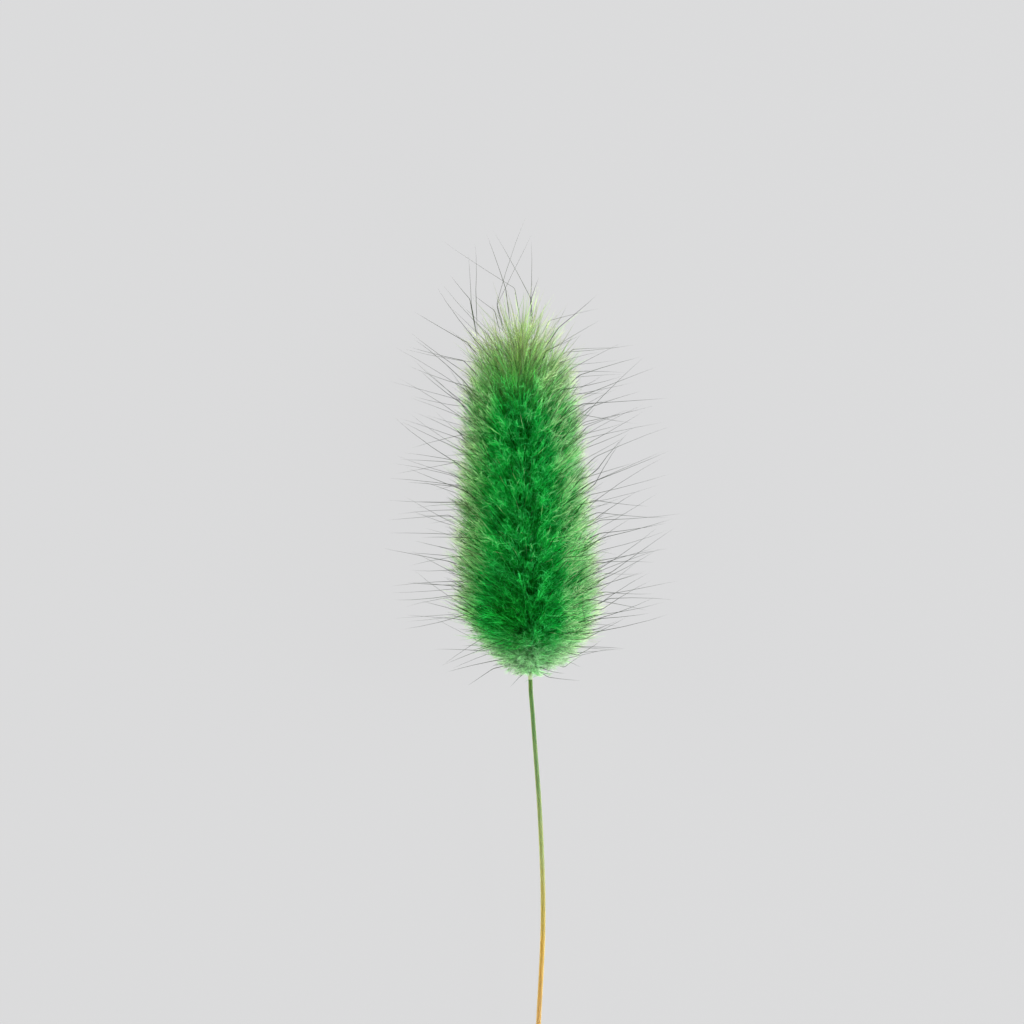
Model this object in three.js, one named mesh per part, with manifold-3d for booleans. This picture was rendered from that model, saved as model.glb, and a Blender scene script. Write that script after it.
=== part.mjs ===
// A dried bunny tail grass, cut and laid on a table: one straw-thin stem with one furry flower head.
// Millimetres. +Z is up, the head points along +Y and the stem runs back along -Y.
// The origin is on the table, in the middle of the flat spot that the head rests on.
import * as THREE from "three";
import { mergeVertices } from "three/addons/utils/BufferGeometryUtils.js";
import Module from "manifold-3d";

const wasm = await Module();
wasm.setup();

// The line down the middle of the whole plant, from the tip of the head to the cut end of the stem
const HEAD_LINE = [
  [-0.3, 31.0, 6.8],
  [-0.8, 24.0, 7.0],
  [-0.4, 12.0, 7.3],
  [0.0, 0.0, 7.5],
  [0.15, -8.0, 7.5],
  [0.6, -19.5, 7.2],
];
const STEM_LINE = [
  [1.0, -26.0, 6.85],
  [1.9, -38.7, 6.1],
  [2.3, -51.5, 5.4],
  [1.7, -66.0, 4.6],
  [0.4, -88.0, 3.5],
  [-0.6, -112.0, 2.4],
  [-0.9, -140.0, 1.25],
  [-0.5, -169.0, 0.4],
];
const PLANT_LINE = new THREE.CatmullRomCurve3(
  [...HEAD_LINE, ...STEM_LINE].map(([x, y, z]) => new THREE.Vector3(x, y, z)),
);
const LINE_SAMPLES = 800;

// The fur: a blunt round base, a long slow taper and a soft pointed tip
const HEAD_BASE_Y = -19.5;
const HEAD_WIDEST_Y = -7;
const HEAD_TIP_Y = 31;
const FUR_RADIUS = 8.8;
const FUR_TAPER = 0.23;
const FUR_TIP_POWER = 5;
const FUR_TIP_ROUND = 0.65;

// The body under the fur
const CORE_SHARE = 0.66;
const CORE_END_INSET = 0.3;
const CORE_TIP_INSET = 2.6;
const CORE_BASE_RADIUS = 1.3;
const CORE_RINGS = 12;
const CORE_SIDES = 16;
const ROOT_MIN_RADIUS = 0.2;

// The oval where the fur is pressed flat on the table by the head's own weight
const REST_SPOT_HALF_WIDTH = 3.2;
const REST_SPOT_LENGTH_RATIO = 2.8;
const REST_PAD_SPREAD = 1.35;
const REST_PAD_TOP = 4.5;
const REST_PAD_BELOW = 1;
const REST_PAD_SIDES = 20;
const TABLE_BLOCK = 400;

// One spikelet with its fur, drawn as a keeled pointed blade that arches away from the core
const SPIKELET_SPACING = 3.1;
const SPIKELET_HALF_WIDTH = 1.35;
const SPIKELET_HALF_DEPTH = 0.55;
const SPIKELET_RISE = 5.6;
const SPIKELET_RISE_FULL_AT = 0.3;
const SPIKELET_ROOT_DEPTH = 1.3;
const SPIKELET_STAND = 0.5;
const SPIKELET_ARCH = 0.9;
const SPIKELET_RINGS = [0, 0.6, 1];
const SPIKELET_TAPER = [0.8, 1, 0];
const SPIKELET_SPREAD = { rise: 0.6, turn: 0.12, tipTurn: 0.1, reach: 0.45 };
const FIRST_ROOT_INSET = 0.5;
const LAST_ROOT_INSET = 3.6;
const BLADE_SIDES = 3;

// One awn: a stiff bristle that climbs out of the fur, bends at a knee and points outwards
const AWN_SPACING = 4.9;
const AWN_RADII = [0.32, 0.32, 0.24, 0];
const AWN_KNEE_RISE = 4.6;
const AWN_KNEE_STAND = 0.9;
const AWN_LENGTH = 10.2;
const AWN_BASE_LENGTH_SHARE = 0.55;
const AWN_FULL_LENGTH_AT = 0.2;
const AWN_ROOT_DEPTH = 1.0;
const AWN_DROOP = 0.18;
const AWN_TABLE_GAP = 0.45;
const AWN_MIN_SIDEWAYS = 0.45;
const AWN_SPREAD = { kneeRise: 0.8, turn: 0.2, stand: 0.4, sweep: 0.35, lean: 0.2, length: 1.2 };

// Degrees between an awn's outer part and the stem's direction, at the base, the side and the tip of the head
const AWN_LEAN = { base: 102, side: 80, tip: 22 };
const AWN_BASE_SHARE = 0.18;
const AWN_TIP_SHARE = 0.55;

// The long awns that stand up out of the tip of the head and cross each other
const CROWN_COUNT = 10;
const CROWN_START_Y = 22;
const CROWN_ROOT_RADIUS = 0.8;
const CROWN_KNEE_RISE = 6.5;
const CROWN_KNEE_RADIUS = 2.2;
const CROWN_LENGTH = 12;
const CROWN_LEAN = 14;
const CROWN_SPREAD = { y: 1, kneeRise: 1, kneeTurn: 0.4, kneeRadius: 0.8, sweep: 1.2, lean: 14, length: 1.5 };

// The stem, thinner towards the head, and the socket that it stands in
const STEM_TOP_RADIUS = 0.24;
const STEM_CUT_RADIUS = 0.4;
const STEM_TAPER_POWER = 0.6;
const STEM_SIDES = 8;
const STEM_STEP = 3.2;
const STEM_IN_HEAD = 4;
const NECK_RADIUS = 0.3;
const NECK_LENGTH = 0.6;
const NECK_GAP = 0.5;
const SOCKET_RADIUS = 0.62;
const SOCKET_SIDES = 12;
const SOCKET_STEP = 1;
const SOCKET_DEPTH = 5;
const SOCKET_CLEAR_BELOW = 8;

const GOLDEN_ANGLE = Math.PI * (3 - Math.sqrt(5));
const SLANT_STEP = 0.5;
const RANDOM_SEED = 41;
const UP = new THREE.Vector3(0, 0, 1);

function seededRandom(seed) {
  let state = seed;
  return () => {
    state = (state + 0x6d2b79f5) | 0;
    let mixed = Math.imul(state ^ (state >>> 15), 1 | state);
    mixed = (mixed + Math.imul(mixed ^ (mixed >>> 7), 61 | mixed)) ^ mixed;
    return ((mixed ^ (mixed >>> 14)) >>> 0) / 4294967296;
  };
}

const random = seededRandom(RANDOM_SEED);

// A draw between -spread and +spread
function jitter(spread) {
  return (random() * 2 - 1) * spread;
}

const LINE_POINTS = PLANT_LINE.getPoints(LINE_SAMPLES);

// The middle of the plant at a place along Y
function middleAt(y) {
  const next = LINE_POINTS.findIndex((point) => point.y <= y);
  if (next <= 0) {
    const first = LINE_POINTS[0];
    return new THREE.Vector3(first.x, y, first.z);
  }
  const above = LINE_POINTS[next - 1];
  const below = LINE_POINTS[next];
  return above.clone().lerp(below, (above.y - y) / (above.y - below.y));
}

// A point at a distance from the plant's middle, on the side given by an angle: 0 is +X, 90 degrees is up
function aroundMiddle(y, angle, radius) {
  const side = new THREE.Vector3(Math.cos(angle), 0, Math.sin(angle));
  return middleAt(y).addScaledVector(side, radius);
}

// The share of the way along the head, from its base to its tip
function headShare(y) {
  return THREE.MathUtils.clamp((y - HEAD_BASE_Y) / (HEAD_TIP_Y - HEAD_BASE_Y), 0, 1);
}

// How far the fur reaches from the middle: a quarter ellipse below the widest place, a slow taper above it
function furRadius(y) {
  if (y < HEAD_WIDEST_Y) {
    const below = Math.min((HEAD_WIDEST_Y - y) / (HEAD_WIDEST_Y - HEAD_BASE_Y), 1);
    return FUR_RADIUS * Math.sqrt(1 - below * below);
  }
  const above = Math.min((y - HEAD_WIDEST_Y) / (HEAD_TIP_Y - HEAD_WIDEST_Y), 1);
  return FUR_RADIUS * (1 - FUR_TAPER * above) * (1 - above ** FUR_TIP_POWER) ** FUR_TIP_ROUND;
}

function coreRadius(y) {
  return CORE_SHARE * furRadius(y);
}

// A closed rod with a ring of corners at each point. A last half-width of 0 ends it in a point.
// The first corner of each ring is on the side that outward points to.
function rodThrough(points, halfWidths, depths, outward, sides) {
  const rings = points.length - 1;
  const geometry = new THREE.CylinderGeometry(1, 1, 1, sides, rings);
  const place = geometry.attributes.position;
  const corner = new THREE.Vector3();
  const along = new THREE.Vector3();
  for (let index = 0; index < place.count; index += 1) {
    corner.fromBufferAttribute(place, index);
    const ring = Math.round((corner.y + 0.5) * rings);
    along.subVectors(points[Math.min(ring + 1, rings)], points[Math.max(ring - 1, 0)]).normalize();
    const deep = outward.clone().addScaledVector(along, -outward.dot(along)).normalize();
    const wide = new THREE.Vector3().crossVectors(along, deep);
    const moved = points[ring].clone();
    moved.addScaledVector(wide, corner.x * halfWidths[ring]);
    moved.addScaledVector(deep, corner.z * depths[ring]);
    place.setXYZ(index, moved.x, moved.y, moved.z);
  }
  return geometry;
}

// A geometry as a closed solid: equal corners are merged, and faces that shrank to nothing are left out
function toSolid(geometry) {
  const bare = geometry.clone();
  bare.deleteAttribute("normal");
  bare.deleteAttribute("uv");
  const merged = mergeVertices(bare, 1e-4);
  const faces = [];
  const corners = merged.index.array;
  for (let index = 0; index < corners.length; index += 3) {
    const [a, b, c] = corners.slice(index, index + 3);
    if (a !== b && b !== c && c !== a) {
      faces.push(a, b, c);
    }
  }
  return new wasm.Manifold(
    new wasm.Mesh({
      numProp: 3,
      vertProperties: new Float32Array(merged.attributes.position.array),
      triVerts: new Uint32Array(faces),
    }),
  );
}

// A solid as a geometry with flat-shaded faces
function toGeometry(solid) {
  const mesh = solid.getMesh();
  const geometry = new THREE.BufferGeometry();
  geometry.setAttribute("position", new THREE.BufferAttribute(new Float32Array(mesh.vertProperties), 3));
  geometry.setIndex(new THREE.BufferAttribute(new Uint32Array(mesh.triVerts), 1));
  geometry.computeVertexNormals();
  return geometry;
}

// The body of the head, turned on a lathe along Y and then bent onto the plant's line
function buildCore() {
  const baseY = HEAD_BASE_Y + CORE_END_INSET;
  const tipY = HEAD_TIP_Y - CORE_TIP_INSET;
  const profile = [new THREE.Vector2(0, baseY), new THREE.Vector2(CORE_BASE_RADIUS, baseY)];
  for (let ring = 1; ring < CORE_RINGS; ring += 1) {
    const y = THREE.MathUtils.lerp(baseY, tipY, ring / CORE_RINGS);
    profile.push(new THREE.Vector2(coreRadius(y), y));
  }
  profile.push(new THREE.Vector2(0, tipY));
  const geometry = new THREE.LatheGeometry(profile, CORE_SIDES);
  const place = geometry.attributes.position;
  for (let index = 0; index < place.count; index += 1) {
    const middle = middleAt(place.getY(index));
    place.setX(index, place.getX(index) + middle.x);
    place.setZ(index, place.getZ(index) + middle.z);
  }
  return toSolid(geometry);
}

// The pressed fur between the core and the table: an oval block that spreads towards the core
function buildRestPad() {
  const height = REST_PAD_TOP + REST_PAD_BELOW;
  const pad = new THREE.CylinderGeometry(
    REST_SPOT_HALF_WIDTH * REST_PAD_SPREAD,
    REST_SPOT_HALF_WIDTH,
    height,
    REST_PAD_SIDES,
  );
  pad.rotateX(Math.PI / 2);
  pad.scale(1, REST_SPOT_LENGTH_RATIO, 1);
  pad.translate(0, 0, height / 2 - REST_PAD_BELOW);
  return toSolid(pad);
}

// Places along the head for one spikelet or awn each, a golden angle apart and evenly spread over the fur
function spiralPlaces(spacing, fromY, toY) {
  const places = [];
  let y = fromY;
  while (y < toY) {
    places.push({ y, angle: places.length * GOLDEN_ANGLE });
    const girth = 2 * Math.PI * Math.max(furRadius(y), spacing / 2);
    const slant = Math.hypot(1, (furRadius(y + SLANT_STEP) - furRadius(y)) / SLANT_STEP);
    y += (spacing * spacing) / (girth * slant);
  }
  return places;
}

function buildSpikelet({ y, angle }) {
  const rising = THREE.MathUtils.smoothstep(headShare(y), -0.06, SPIKELET_RISE_FULL_AT);
  const rise = SPIKELET_RISE * rising + jitter(SPIKELET_SPREAD.rise);
  const turn = angle + jitter(SPIKELET_SPREAD.turn);
  const tipY = y + rise;
  const root = aroundMiddle(y, turn, Math.max(coreRadius(y) - SPIKELET_ROOT_DEPTH, ROOT_MIN_RADIUS));
  const reach = Math.max(furRadius(tipY) + SPIKELET_STAND, coreRadius(y)) + jitter(SPIKELET_SPREAD.reach);
  const tip = aroundMiddle(tipY, turn + jitter(SPIKELET_SPREAD.tipTurn), reach);
  const outward = new THREE.Vector3(Math.cos(turn), 0, Math.sin(turn));
  const bend = root.clone().lerp(tip, 0.5).addScaledVector(outward, -SPIKELET_ARCH);
  bend.y += SPIKELET_ARCH;
  const path = new THREE.QuadraticBezierCurve3(root, bend, tip);
  const points = SPIKELET_RINGS.map((along) => path.getPoint(along));
  const widths = SPIKELET_TAPER.map((part) => part * SPIKELET_HALF_WIDTH);
  const depths = SPIKELET_TAPER.map((part) => part * SPIKELET_HALF_DEPTH);
  return toSolid(rodThrough(points, widths, depths, outward, BLADE_SIDES));
}

// A direction that leans away from +Y by one angle, towards the side given by another
function leaning(lean, sweep) {
  const sideways = Math.sin(lean);
  return new THREE.Vector3(sideways * Math.cos(sweep), Math.cos(lean), sideways * Math.sin(sweep));
}

// A bristle through its root, knee and tip, laid along the table where it would otherwise pass through it
function buildBristle(root, knee, direction, length) {
  knee.z = Math.max(knee.z, AWN_TABLE_GAP);
  const lowest = (AWN_TABLE_GAP - knee.z) / length;
  if (direction.z < lowest) {
    const level = Math.sqrt(1 - lowest * lowest) / Math.hypot(direction.x, direction.y);
    direction.set(direction.x * level, direction.y * level, lowest);
  }
  const tip = knee.clone().addScaledVector(direction, length);
  const middle = knee.clone().lerp(tip, 0.5);
  middle.z = Math.max(middle.z - AWN_DROOP, AWN_TABLE_GAP);
  return toSolid(rodThrough([root, knee, middle, tip], AWN_RADII, AWN_RADII, UP, BLADE_SIDES));
}

function awnLean(share) {
  const towardsBase = 1 - THREE.MathUtils.smoothstep(share, 0, AWN_BASE_SHARE);
  const towardsTip = THREE.MathUtils.smoothstep(share, AWN_TIP_SHARE, 1);
  const baseTurn = (AWN_LEAN.base - AWN_LEAN.side) * towardsBase;
  const tipTurn = (AWN_LEAN.tip - AWN_LEAN.side) * towardsTip;
  return THREE.MathUtils.degToRad(AWN_LEAN.side + baseTurn + tipTurn);
}

function buildAwn({ y, angle }) {
  const share = headShare(y);
  const growth = THREE.MathUtils.smoothstep(share, 0, AWN_FULL_LENGTH_AT);
  const turn = angle + jitter(AWN_SPREAD.turn);
  const kneeY = y + AWN_KNEE_RISE * growth + jitter(AWN_SPREAD.kneeRise);
  const root = aroundMiddle(y, turn, Math.max(coreRadius(y) - AWN_ROOT_DEPTH, ROOT_MIN_RADIUS));
  const kneeRadius = furRadius(kneeY) + AWN_KNEE_STAND + jitter(AWN_SPREAD.stand);
  const knee = aroundMiddle(kneeY, turn, kneeRadius);
  const sweep = turn + jitter(AWN_SPREAD.sweep);
  const lean = awnLean(share) + jitter(AWN_SPREAD.lean);
  const fullShare = THREE.MathUtils.lerp(AWN_BASE_LENGTH_SHARE, 1, growth);
  return buildBristle(root, knee, leaning(lean, sweep), AWN_LENGTH * fullShare + jitter(AWN_SPREAD.length));
}

function buildCrownAwn(count) {
  const angle = count * GOLDEN_ANGLE;
  const y = CROWN_START_Y + jitter(CROWN_SPREAD.y);
  const kneeY = y + CROWN_KNEE_RISE + jitter(CROWN_SPREAD.kneeRise);
  const kneeRadius = CROWN_KNEE_RADIUS + jitter(CROWN_SPREAD.kneeRadius);
  const knee = aroundMiddle(kneeY, angle + jitter(CROWN_SPREAD.kneeTurn), kneeRadius);
  const sweep = angle + jitter(CROWN_SPREAD.sweep);
  const lean = THREE.MathUtils.degToRad(CROWN_LEAN + jitter(CROWN_SPREAD.lean));
  const length = CROWN_LENGTH + jitter(CROWN_SPREAD.length);
  return buildBristle(aroundMiddle(y, angle, CROWN_ROOT_RADIUS), knee, leaning(lean, sweep), length);
}

// Awns right under the head are pressed away by its weight, so only those that point sideways or up are kept
function pointsClearOfTable({ angle }) {
  return Math.sin(angle) > 0 || Math.abs(Math.cos(angle)) > AWN_MIN_SIDEWAYS;
}

// The space that the stem's upper end stands in, and a clear way down past the lowest fur
function buildSocket() {
  const points = [];
  for (let below = -SOCKET_DEPTH; below <= SOCKET_CLEAR_BELOW; below += SOCKET_STEP) {
    points.push(middleAt(HEAD_BASE_Y - below));
  }
  const radii = points.map(() => SOCKET_RADIUS);
  return toSolid(rodThrough(points, radii, radii, UP, SOCKET_SIDES));
}

// Everything below the table top
function buildBelowTable() {
  const block = new THREE.BoxGeometry(TABLE_BLOCK, TABLE_BLOCK, TABLE_BLOCK);
  block.translate(0, 0, -TABLE_BLOCK / 2);
  return toSolid(block);
}

function buildHead() {
  const firstRoot = HEAD_BASE_Y + FIRST_ROOT_INSET;
  const lastRoot = HEAD_TIP_Y - LAST_ROOT_INSET;
  const spikelets = spiralPlaces(SPIKELET_SPACING, firstRoot, lastRoot).map(buildSpikelet);
  const awns = spiralPlaces(AWN_SPACING, firstRoot, CROWN_START_Y).filter(pointsClearOfTable).map(buildAwn);
  const crown = Array.from({ length: CROWN_COUNT }, (_, count) => buildCrownAwn(count));
  const fused = wasm.Manifold.union([buildCore(), buildRestPad(), ...spikelets, ...awns, ...crown]);
  const pieces = fused.subtract(buildBelowTable()).subtract(buildSocket()).decompose();
  pieces.sort((first, second) => second.volume() - first.volume());
  return toGeometry(pieces[0]);
}

// The stem: its upper end in the socket, a slim collar under the fur, then a long slow taper to the cut
function buildStem() {
  const topY = HEAD_BASE_Y + STEM_IN_HEAD;
  const neckY = HEAD_BASE_Y - NECK_GAP;
  const belowNeckY = neckY - NECK_LENGTH;
  const cutY = STEM_LINE[STEM_LINE.length - 1][1];
  const stations = [topY, neckY + NECK_LENGTH, neckY + NECK_LENGTH / 4, neckY - NECK_LENGTH / 4, belowNeckY];
  const steps = Math.round((belowNeckY - cutY) / STEM_STEP);
  for (let step = 1; step <= steps; step += 1) {
    stations.push(THREE.MathUtils.lerp(belowNeckY, cutY, step / steps));
  }
  const radii = stations.map((y) => {
    if (Math.abs(y - neckY) < NECK_LENGTH / 2) {
      return NECK_RADIUS;
    }
    const down = THREE.MathUtils.clamp((HEAD_BASE_Y - y) / (HEAD_BASE_Y - cutY), 0, 1);
    return THREE.MathUtils.lerp(STEM_TOP_RADIUS, STEM_CUT_RADIUS, down ** STEM_TAPER_POWER);
  });
  return rodThrough(stations.map(middleAt), radii, radii, UP, STEM_SIDES);
}

const STRAW = new THREE.MeshStandardMaterial({ color: "#8f9c50", roughness: 0.6, metalness: 0 });
const GREEN_FUR = new THREE.MeshStandardMaterial({ color: "#1d7a30", roughness: 0.9, metalness: 0 });

function namedMesh(name, geometry, material) {
  const mesh = new THREE.Mesh(geometry, material);
  mesh.name = name;
  return mesh;
}

const bunnyTail = new THREE.Group();
bunnyTail.add(namedMesh("stem", buildStem(), STRAW));
bunnyTail.add(namedMesh("head", buildHead(), GREEN_FUR));

export default bunnyTail;
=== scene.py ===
"""A dried bunny tail grass: one furry green flower head on a straw-thin stem, laid on a pale floor.

Metres. +Z is up from the floor, the head points along +Y and the stem runs back along -Y.
The origin is on the floor, in the middle of the flat spot that the head rests on.
"""

import math

import bpy
import numpy as np
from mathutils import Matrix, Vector


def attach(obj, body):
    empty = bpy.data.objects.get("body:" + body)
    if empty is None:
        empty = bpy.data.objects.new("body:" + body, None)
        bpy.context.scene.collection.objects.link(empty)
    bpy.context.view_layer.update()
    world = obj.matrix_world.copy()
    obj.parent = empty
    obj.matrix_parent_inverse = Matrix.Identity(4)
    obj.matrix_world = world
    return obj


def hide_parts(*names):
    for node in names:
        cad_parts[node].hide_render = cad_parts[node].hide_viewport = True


bl_info = {
    "name": "Dried Bunny Tail Grass",
    "version": (1, 0, 0),
    "blender": (4, 5, 0),
    "location": "View3D > Sidebar > Bunny Tail",
    "description": "Builds a dried bunny tail grass with its fur, bristles, awns and stem",
    "category": "Add Mesh",
}

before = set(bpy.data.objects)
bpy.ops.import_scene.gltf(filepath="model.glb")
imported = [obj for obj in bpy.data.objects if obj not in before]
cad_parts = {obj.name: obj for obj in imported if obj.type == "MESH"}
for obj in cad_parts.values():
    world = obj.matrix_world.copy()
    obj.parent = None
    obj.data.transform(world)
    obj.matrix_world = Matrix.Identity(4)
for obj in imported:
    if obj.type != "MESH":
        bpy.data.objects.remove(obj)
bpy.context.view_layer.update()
MM = 0.001

# The line down the middle of the whole plant, from the cut end of the stem to the tip of the head
PLANT_LINE = MM * np.array(
    [
        [-0.5, -169.0, 0.4],
        [-0.9, -140.0, 1.25],
        [-0.6, -112.0, 2.4],
        [0.4, -88.0, 3.5],
        [1.7, -66.0, 4.6],
        [2.3, -51.5, 5.4],
        [1.9, -38.7, 6.1],
        [1.0, -26.0, 6.85],
        [0.6, -19.5, 7.2],
        [0.9, -16.0, 7.3],
        [0.3, -8.0, 7.5],
        [0.0, 0.0, 7.5],
        [-0.4, 12.0, 7.3],
        [-0.8, 24.0, 7.0],
        [-0.3, 31.0, 6.8],
    ]
)

# The outline of the dense fur: a rounded V at the base, a long slow taper and a soft tip
HEAD_BASE_Y = -19.5 * MM
HEAD_WIDEST_Y = -7 * MM
HEAD_TIP_Y = 28.5 * MM
BASE_POWER = 2.1
BASE_ROUND = 0.75
FUR_TAPER = 0.29
TIP_POWER = 9
TIP_ROUND = 0.8

# Degrees between a bristle and the stem's direction, at shares of the way from the head's base to its tip
LEAN_SHARES = [0.0, 0.06, 0.2, 0.5, 0.8, 0.93, 1.0]
LEAN_DEGREES = [118, 92, 70, 55, 46, 41, 28]
LEAN_BEND = math.radians(22)
LEAN_JITTER = math.radians(7)

# How far the fur is combed away from a parting along its top, as an angle round the plant
COMBED_TURN = math.radians(26)

# Where each hair has its rings from root to tip, and how wide the rings between its two points are
HAIR_RINGS = [0, 0.45, 1]
HAIR_WIDTHS = [1.0]
CURL_RINGS = [0, 0.33, 0.67, 1]
CURL_WIDTHS = [1.0, 0.8]
BRISTLE_RINGS = [0, 0.12, 0.45, 0.75, 1]
BRISTLE_WIDTHS = [1.0, 0.9, 0.65]
AWN_RINGS = [0, 0.1, 0.3, 0.42, 0.6, 0.8, 1]
AWN_WIDTHS = [1.8, 1.8, 1.5, 1.05, 0.65]

# How long strands are at the head's base, as a share of their full length, and how far up the head they
# reach that length, as a share of the head
BRISTLE_GROWTH = [0.4, 0.2]
HAIR_GROWTH = [0.4, 0.12]
STRAND_GROWTH = [0.35, 0.15]
AWN_GROWTH = [0.55, 0.2]
AWN_ROOT_GROWTH = [0.7, 0.2]

# The two feathered bristles of a spikelet: how far they may lie from its middle, in mm along the head and as
# an angle round it, how far they stand past the fur's outline in mm, and the ranges of their lengths, as
# shares of the set one, and of their radii in mm
PAIR_SHIFT = 0.5
PAIR_TURN = 0.13
BRISTLE_STAND = [-1.0, 1.2]
BRISTLE_LENGTHS = [0.85, 1.1]
BRISTLE_RADII = [0.03, 0.042]

# The soft hairs: where on a bristle they begin, over how much of it they grow, and how they crowd to its root
HAIRS_FROM = 0.1
HAIRS_OVER = 0.85
HAIR_CROWDING = 1.25

# How far the hairs stand off a bristle at its root and at its tip, how much of that each one does, how much
# they curl, and how strongly they turn back to the bristle's direction
HAIR_SPREAD_ROOT = math.radians(75)
HAIR_SPREAD_TIP = math.radians(32)
HAIR_SPREADS = [0.15, 1.0]
HAIR_CURL = 0.42
HAIR_FOLLOW = 0.35

# The lengths of the hairs, as shares of the set one: at a bristle's root, how much less at its tip, and
# their range. Then the range of their radii, how much thicker they are near a bristle's root, and between
# which shares of the bristle
HAIR_AT_ROOT = 1.15
HAIR_SHORTENING = 0.45
HAIR_LENGTHS = [0.65, 1.2]
HAIR_RADII = [0.75, 1.15]
ROOT_THICKENING = 1.4
ROOT_SHARES = [0.75, 0.3]

# The hairs that stray: how many, how much further they spread and curl, and how much shorter they are
STRAY_SHARE = 0.24
STRAY_SPREAD = 0.9
STRAY_CURL = 0.8
STRAY_SHORTENING = 0.45

# Between which shares of the head the hair gets combed towards its tip, and how much closer, straighter and
# longer it then is
COMBED_SHARES = [0.7, 1.0]
COMBED_SPREAD = 0.6
COMBED_CURL = 0.7
COMBED_LENGTH = 0.8

# The short curls that make the fur woolly: where they grow on a bristle, how far they turn from ring to ring
# and scatter, and the ranges of their lengths, as shares of the set one, and of their radii in mm
CURLS_ON_BRISTLE = [0.5, 1.0]
CURL_TURN = math.radians(38)
CURL_SCATTER = 0.85
CURL_LENGTHS = [0.6, 1.3]
CURL_RADII = [0.017, 0.027]

# The fur's bands, from the base of the head to its tip
FUR_BANDS = ("base", "lower", "middle", "upper", "tip")
CURL_BANDS = ("lower", "upper")

# The fine strands: how many there are beside a feathered bristle, where on it they grow, how far up it they
# take their direction, where they end if 1 is its tip, how much they scatter and bow, the range of their
# lengths, as shares of the way to that end, and the range of their radii in mm
STRANDS_EACH = 4
STRANDS_ON_BRISTLE = [0.25, 0.6]
STRAND_AIM_FROM = 0.3
STRAND_AIM_RISE = 0.6
STRAND_END = 1.1
STRAND_SCATTER = 0.22
STRAND_BOW = 0.06
STRAND_LENGTHS = [0.7, 1.15]
STRAND_RADII = [0.02, 0.05]

# How the strands change at the head's tip: between which shares of the head, how many fewer there are, and
# how much more they scatter and how much longer they are
STRAND_TIP_SHARES = [0.8, 1.0]
STRANDS_TIP_THINNING = 0.6
TIP_SCATTER = 0.25
TIP_LENGTH = 0.8

# How much longer the strands are at the head's left and right sides, and where that ends below its tip
LEFT_REACH = 0.25
RIGHT_REACH = 0.1
REACH_SHARES = [0.9, 0.7]

# The few loose strands among them: how many, how much they scatter, how high up the map they stay when they
# lie on top, clear of the painted shade there, and their radius in mm
LOOSE_SHARE = 0.05
LOOSE_SCATTER = 0.6
LOOSE_HEIGHT = 1.0
LOOSE_RADIUS = 0.048

# From how far to how far sideways or upwards a place counts as at the plant's side or on its top
SIDE_EDGES = [0.3, 0.8]
TOP_EDGES = [0.4, 0.9]

# The pieces' own map. A strand lies across it by its share along the head, shifted a little by its tone, and
# climbs it from ring to ring. Each cell across it has its own shade. A hair's tone is partly its own, and
# for the rest its bristle's
HAIR_MAP = "OFBake"
MAP_EDGE = 0.01
MAP_MARGIN = 0.03
STRAND_WIDTH = 0.0012
STRAND_CLIMB = 0.02
SHADE_CELLS = 400
TONE_SHIFT = 0.012
OWN_TONE = 0.65

# How far to the plant's side, as a share of straight sideways, its deeper green of painted shade ends and its
# pale side of painted light begins, how far the painted shade lies to the left, and how much wider the
# painted light on the sides is at the head's tip
SHADED_TOP_TO = 0.36
LIT_SIDE_FROM = 0.88
LIT_SIDE_SHIFT = 0.06
LIT_SIDE_AT_TIP = 0.3
LIT_SIDE_TIP_SHARES = [0.6, 0.95]

# How high up the map strands and curls reach on top of the head, as a share of what they do at its sides:
# lower is darker, a painted shade on the top
SHADED_TOP_HEIGHT = 0.5
CURL_SHADED_TOP_HEIGHT = 0.62

# Pools of painted shade in the fur, where it is painted a deeper green. Each row is a place's X, Y and size
# in mm, and its depth
SHADE_POOLS = [
    [-2.4, -10.8, 4.6, 0.75],
    [-2.2, 22.6, 2.8, 0.8],
]

# How deep the fur is taken to be, with the fuzz past its outline
FUR_DEPTH = 4.0 * MM
FUR_FUZZ = 1.0 * MM

# The dark core inside the fur, painted as dark as the shade deep in it: its width as a share of the fur's,
# where it starts and ends, how much and how suddenly it is drawn in at its tip, and how much of the dye's
# brightness it has
CORE_SHARE = 0.38
CORE_FROM_Y = HEAD_BASE_Y + 1.2 * MM
CORE_TO_Y = HEAD_TIP_Y - 6 * MM
CORE_RINGS = 24
CORE_SIDES = 24
CORE_DRAWN_IN = 0.9
CORE_POWER = 6
CORE_SHADE_BRIGHTNESS = 0.2

# How the fur is pressed where the head lies on the floor, and how far it may hang over the stem
FLOOR_GAP = 0.04 * MM
PRESSED_DEPTH = 0.25 * MM
BASE_HANG = 0.1 * MM

# How much the hair thins out at the head's tip, how much less hair and how many more curls grow at its base,
# and between which shares of the head
TIP_THINNING = 0.9
THINNING_SHARES = [0.72, 0.95]
HAIR_AT_BASE = -0.1
CURLS_AT_BASE = 0.8
BASE_SHARES = [0.14, 0.0]

# The soft-edged tufts of the fur: how many waves make them, how fast the waves run along the head, in
# radians in a mm, how often at most they go round it, their contrast, and the least and the most hair that
# a bristle can get, compared with the rest
TUFT_WAVES = 6
TUFT_SPINS = [1.0, 3.0]
TUFT_TURNS = 8
TUFT_CONTRAST = 0.25
TUFT_LIMITS = [0.15, 2.5]

# The awns round the head: degrees between the part past the knee and the stem's direction, at shares of the
# head, and how many more of them it is at the right and fewer at the left
AWN_SPACING = 2.4 * MM
AWN_FIRST_Y = HEAD_BASE_Y + 0.5 * MM
AWN_LAST_Y = 25 * MM
AWN_LEAN_SHARES = [0.0, 0.18, 0.55, 0.85, 1.0]
AWN_LEAN_DEGREES = [100, 78, 74, 70, 40]
AWN_SIDE_DEGREES = [-14, -11, -3, 12, 8]

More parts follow.
